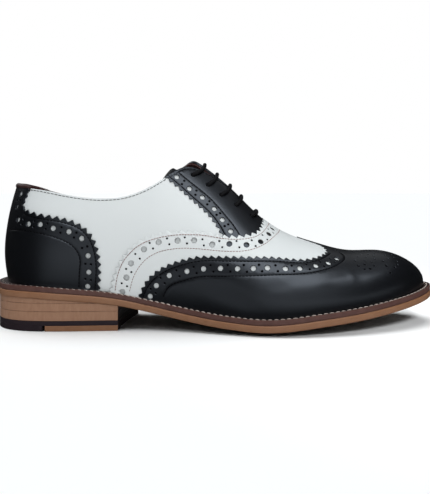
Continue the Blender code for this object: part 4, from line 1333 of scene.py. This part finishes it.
def add_sole():
    verts, faces, bottom = plate(sole_side, OUTSOLE_SHAPE)
    piece("outsole_plate", verts, faces, "sole_edge", ("outsole",), "outsole_leather", 60, sole_bottom=bottom)

    rings = [ring_at(sole_side, *row) for row in WELT_OUTER]
    rings += [ring_at(feather_side, *row) for row in WELT_INNER]
    size = len(rings[0])
    faces = ring_quads(len(rings), size, closed=True)
    start, end = (len(WELT_OUTER) - 1) * size, len(WELT_OUTER) * size
    verts, sides, top = np.concatenate(rings), faces[:start] + faces[end:], faces[start:end]
    piece("welt_strip", verts, sides, "welt_edge", ("welt",), "welt_leather", 50, welt_top=top)

    verts, faces, bottom = plate(feather_side, SOCK_SHAPE)
    piece("sock_lining", verts, faces + bottom, "lining_calf", ("insole",), "lining_leather", 60)


def add_welt_stitches():
    """Light thread along the top of the welt; it sinks in and thins out round the heel."""
    x, *sides = sole_side(SOLE_TURNS, WELT_OUTER[-1][0])
    lines = []
    for side, y in zip(BOTH, sides):
        upper = lifted(SOLE_TURNS, np.full(len(SOLE_TURNS), over(WELT_SEAM_RISE, side)), WELT_SEAM_OUT)
        place = WELT_SEAM * np.column_stack([x, y]) + (1 - WELT_SEAM) * upper[:, :2]
        lines.append(np.column_stack([place, sole_bottom(*place.T) + WELT_TOP]))
    loop = np.concatenate([lines[0], lines[1][::-1]])
    along = lengths_along(loop)
    reach = WELT_THREAD_LENGTH / 2
    at = np.arange(reach, along[-1] - reach, WELT_PITCH)
    middle, ahead, behind = (at_lengths(loop, along, at + part * reach) for part in (0, 1, -1))
    up = np.tile((0.0, 0.0, 1.0), (len(at), 1))
    way = at_lengths(loop, along, at + 1) - at_lengths(loop, along, at - 1)
    slant = np.cross(way, up) * WELT_SLANT
    bold = np.clip((middle[:, :1] - WELT_FAINT[0]) / (WELT_FAINT[1] - WELT_FAINT[0]), 0, 1)
    low = up * (bold - 1) * WELT_THREAD_SUNK
    radius = WELT_THREAD[0] + (WELT_THREAD[1] - WELT_THREAD[0]) * bold
    verts, faces = stitch_shapes(middle + low, ahead + low + slant, behind + low - slant, up, radius)
    piece("welt_stitches", verts, faces, "welt_thread", (), "welt_leather")


def breast_line():
    """The heel's hollow front, from its lateral to its medial corner."""
    stations = np.array((BREAST_LATERAL, BREAST_MEDIAL))
    turns = turn_at(stations, SOLE_SPAN)
    y = sole_swing(turns) + np.array(BOTH) * (sole_half(turns) - HEEL_INSET)
    start, end = np.column_stack([stations, y])
    share = np.linspace(0, 1, BREAST_POINTS)[:, None]
    bow = BREAST_HOLLOW * 4 * share * (1 - share)
    return start + (end - start) * share - bow * (1, 0)


def heel_outline(start=0.0):
    """The heel's outline from a station on, and which of its points lie on the breast."""
    sides = []
    for column, end in ((1, BREAST_LATERAL), (2, BREAST_MEDIAL)):
        turns = np.linspace(turn_at(start, SOLE_SPAN), turn_at(end, SOLE_SPAN), HEEL_POINTS)[:-1]
        edge = np.column_stack(sole_side(turns, HEEL_INSET))[:, [0, column]]
        edge = edge[edge[:, 0] < end - CORNER_ROOM]
        edge[:, 0] = np.maximum(edge[:, 0], start)
        sides.append(edge)
    lateral, medial = sides
    if start == 0:
        medial = medial[1:]
    front = breast_line()
    points = np.concatenate([lateral, front, medial[::-1]])
    number = np.arange(len(points))
    return points, (number >= len(lateral)) & (number < len(lateral) + len(front))


def layer(outline, low, high, at_front=None):
    """A flat layer of the heel with slightly rounded edges, as vertices, faces and faces of the breast."""
    if at_front is None:
        at_front = np.zeros(len(outline), bool)
    if area_of(outline) < 0:
        outline, at_front = outline[::-1], at_front[::-1]
    drawn_in = pulled_in(outline, LAYER_ROUND)
    size = len(outline)
    top = high(*outline.T) if callable(high) else np.full(size, high)
    verts = np.concatenate([
        np.column_stack([drawn_in, np.full(size, low)]),
        np.column_stack([outline, np.minimum(low + LAYER_ROUND, top)]),
        np.column_stack([outline, np.maximum(top - LAYER_ROUND, low)]),
        np.column_stack([drawn_in, top]),
    ])
    faces, front = [], []
    for quad in ring_quads(4, size):
        (front if at_front[quad[0] % size] and at_front[quad[1] % size] else faces).append(quad)
    _, _, cap, origin, _, _ = delaunay_2d_cdt([Vector(p) for p in drawn_in], around(0, size), [], 1, TINY)
    bottom = [tuple(origin[k][0] for k in triangle) for triangle in cap]
    faces += flipped(bottom) + [tuple(3 * size + k for k in triangle) for triangle in bottom]
    return verts, faces, front


def add_lift(name, node, made, look="stacked_leather", slot="heel_leather"):
    verts, faces, front = made
    piece(name, verts, faces, look, (node,), slot, 40, heel_breast=front)


def add_heel():
    """From the floor up: a leather top piece with a rubber corner and rubber layer, and three lifts."""
    outline, at_front = heel_outline()
    front_outline, front_mask = heel_outline(RUBBER_CORNER)
    top_piece = layer(front_outline, 0.0, TOP_PIECE_HEIGHT - SEAM, front_mask)
    add_lift("top_piece", "heel_top_piece", top_piece, "sole_edge")

    corner = sole_side(turn_at(RUBBER_CORNER, (HEEL_INSET, LENGTH - HEEL_INSET)), HEEL_INSET)
    inner = outline[outline[:, 0] < RUBBER_CORNER - CORNER_ROOM]
    split = np.argmax(inner[:, 1] > 0)
    ends = [(RUBBER_CORNER - SEAM, y) for y in corner[1:]]
    block = layer(np.concatenate([inner[:split], ends, inner[split:]]), 0.0, TOP_PIECE_HEIGHT)
    thin = layer(outline, TOP_PIECE_HEIGHT, RUBBER_HEIGHT - SEAM, at_front)
    front = [tuple(len(block[0]) + k for k in face) for face in thin[2]]
    rubber = (*joined([block[:2], thin[:2]]), front)
    add_lift("rubber_layers", "heel_rubber", rubber, "heel_rubber", "heel_rubber")
    add_lift("lift_3", "heel_lift_3", layer(outline, RUBBER_HEIGHT, LIFT_3_HEIGHT - SEAM, at_front))

    def up_to(high):
        return lambda x, y: np.minimum(high, sole_bottom(x, y) + LIFT_PRESS)

    add_lift("lift_2", "heel_lift_2", layer(outline, LIFT_3_HEIGHT, up_to(LIFT_2_HEIGHT - SEAM), at_front))
    thick = outline[sole_bottom(*outline.T) > LIFT_2_HEIGHT + LIFT_LEAST]
    add_lift("lift_1", "heel_lift_1", layer(thick, LIFT_2_HEIGHT, up_to(LENGTH)))


add_quarters()
add_lining()
add_collar_binding()
add_counter()
add_facings()
add_vamp()
add_wing_cap()
add_stitches()
add_tongue()
add_lace()
add_sole()
add_welt_stitches()
add_heel()

scene = bpy.context.scene


def add_floor():
    bpy.ops.mesh.primitive_plane_add(size=FLOOR_SIZE)
    floor = bpy.context.object
    floor.name = "floor"
    floor.visible_glossy = False
    floor.data.materials.append(material("paper", (FLOOR_TONE,) * 3, None, 0, 0.9, 0.0))
    return floor


def add_room():
    """A dim room; the backdrop that the camera sees is white all round."""
    world = scene.world or bpy.data.worlds.new("studio")
    scene.world = world
    world.use_nodes = True
    nodes, links = world.node_tree.nodes, world.node_tree.links
    room = nodes["Background"]
    room.inputs["Color"].default_value = (*LIGHT_COLOUR, 1)
    room.inputs["Strength"].default_value = ROOM_LEVEL
    backdrop = nodes.new("ShaderNodeBackground")
    backdrop.inputs["Color"].default_value = (1, 1, 1, 1)
    seen = nodes.new("ShaderNodeLightPath")
    both = nodes.new("ShaderNodeMixShader")
    links.new(seen.outputs["Is Camera Ray"], both.inputs["Fac"])
    links.new(room.outputs["Background"], both.inputs[1])
    links.new(backdrop.outputs["Background"], both.inputs[2])
    links.new(both.outputs["Shader"], nodes["World Output"].inputs["Surface"])


def add_light(name, kind, place, way, lit):
    """A light for some objects only."""
    data = bpy.data.lights.new(name, kind)
    data.color = LIGHT_COLOUR
    made = bpy.data.objects.new(name, data)
    made.location = place
    made.rotation_euler = Vector(way).to_track_quat("-Z", "Y").to_euler()
    scene.collection.objects.link(made)
    receivers = bpy.data.collections.new("lit_by_" + name)
    for thing in lit:
        receivers.objects.link(thing)
    made.light_linking.receiver_collection = receivers
    return made


def add_panel(name, place, way, size, level):
    """A soft panel of even brightness that lights the shoe and shows in its gloss."""
    panel = add_light(name, "AREA", place, way, PIECES)
    panel.data.shape = "RECTANGLE"
    panel.data.size, panel.data.size_y = size
    panel.data.energy = level * math.pi * size[0] * size[1]
    panel.visible_camera = False


def add_sun(name, way, level, lit):
    sun = add_light(name, "SUN", (0, 0, 1), way, lit)
    sun.data.energy = level
    sun.data.angle = math.radians(SUN_ANGLE)
    sun.visible_glossy = False


def add_toe_spot(floor):
    """Light from the front on the floor before the toe."""
    spot = add_light("toe_spot", "SPOT", TOE_PLACE, Vector(TOE_AIM) - Vector(TOE_PLACE), [floor])
    spot.data.energy = TOE_LEVEL
    spot.data.spot_size = math.radians(TOE_CONE)
    spot.data.spot_blend = 1.0
    spot.data.shadow_soft_size = TOE_RADIUS
    spot.visible_glossy = False


def add_lights(floor):
    """Soft panels round the shoe, and suns from above that whiten the floor and the top of the leather."""
    for name, (low, high, height, down, level) in PANELS.items():
        low, high = np.array(low), np.array(high)
        add_panel(name, (*(low + high) / 2, height), (0, 0, -1 if down else 1), tuple(high - low), level)
    add_panel("fill", FILL_PLACE, -Vector(FILL_PLACE), FILL_SIZE, FILL_LEVEL)
    add_sun("top", (0, 0, -1), TOP_LEVEL, PIECES)
    add_sun("sun", SUN_WAY, SUN_LEVEL, [floor])
    add_toe_spot(floor)


def add_camera():
    data = bpy.data.cameras.new("camera")
    camera = bpy.data.objects.new("camera", data)
    scene.collection.objects.link(camera)
    camera.location = (0, -(CAMERA_DISTANCE + MIDDLE_Y) * MM, CAMERA_HEIGHT * MM)
    camera.rotation_euler = (math.radians(90), 0, 0)
    data.sensor_fit = "HORIZONTAL"
    data.sensor_width = SENSOR
    data.lens = SENSOR * FOCAL_PIXELS / PHOTO_WIDTH
    data.shift_y = (HORIZON_PIXEL - PHOTO_HEIGHT / 2) / PHOTO_WIDTH
    data.clip_start = 0.01
    data.dof.use_dof = False
    scene.camera = camera
    scene.view_settings.view_transform = "Standard"


add_room()
add_lights(add_floor())
add_camera()
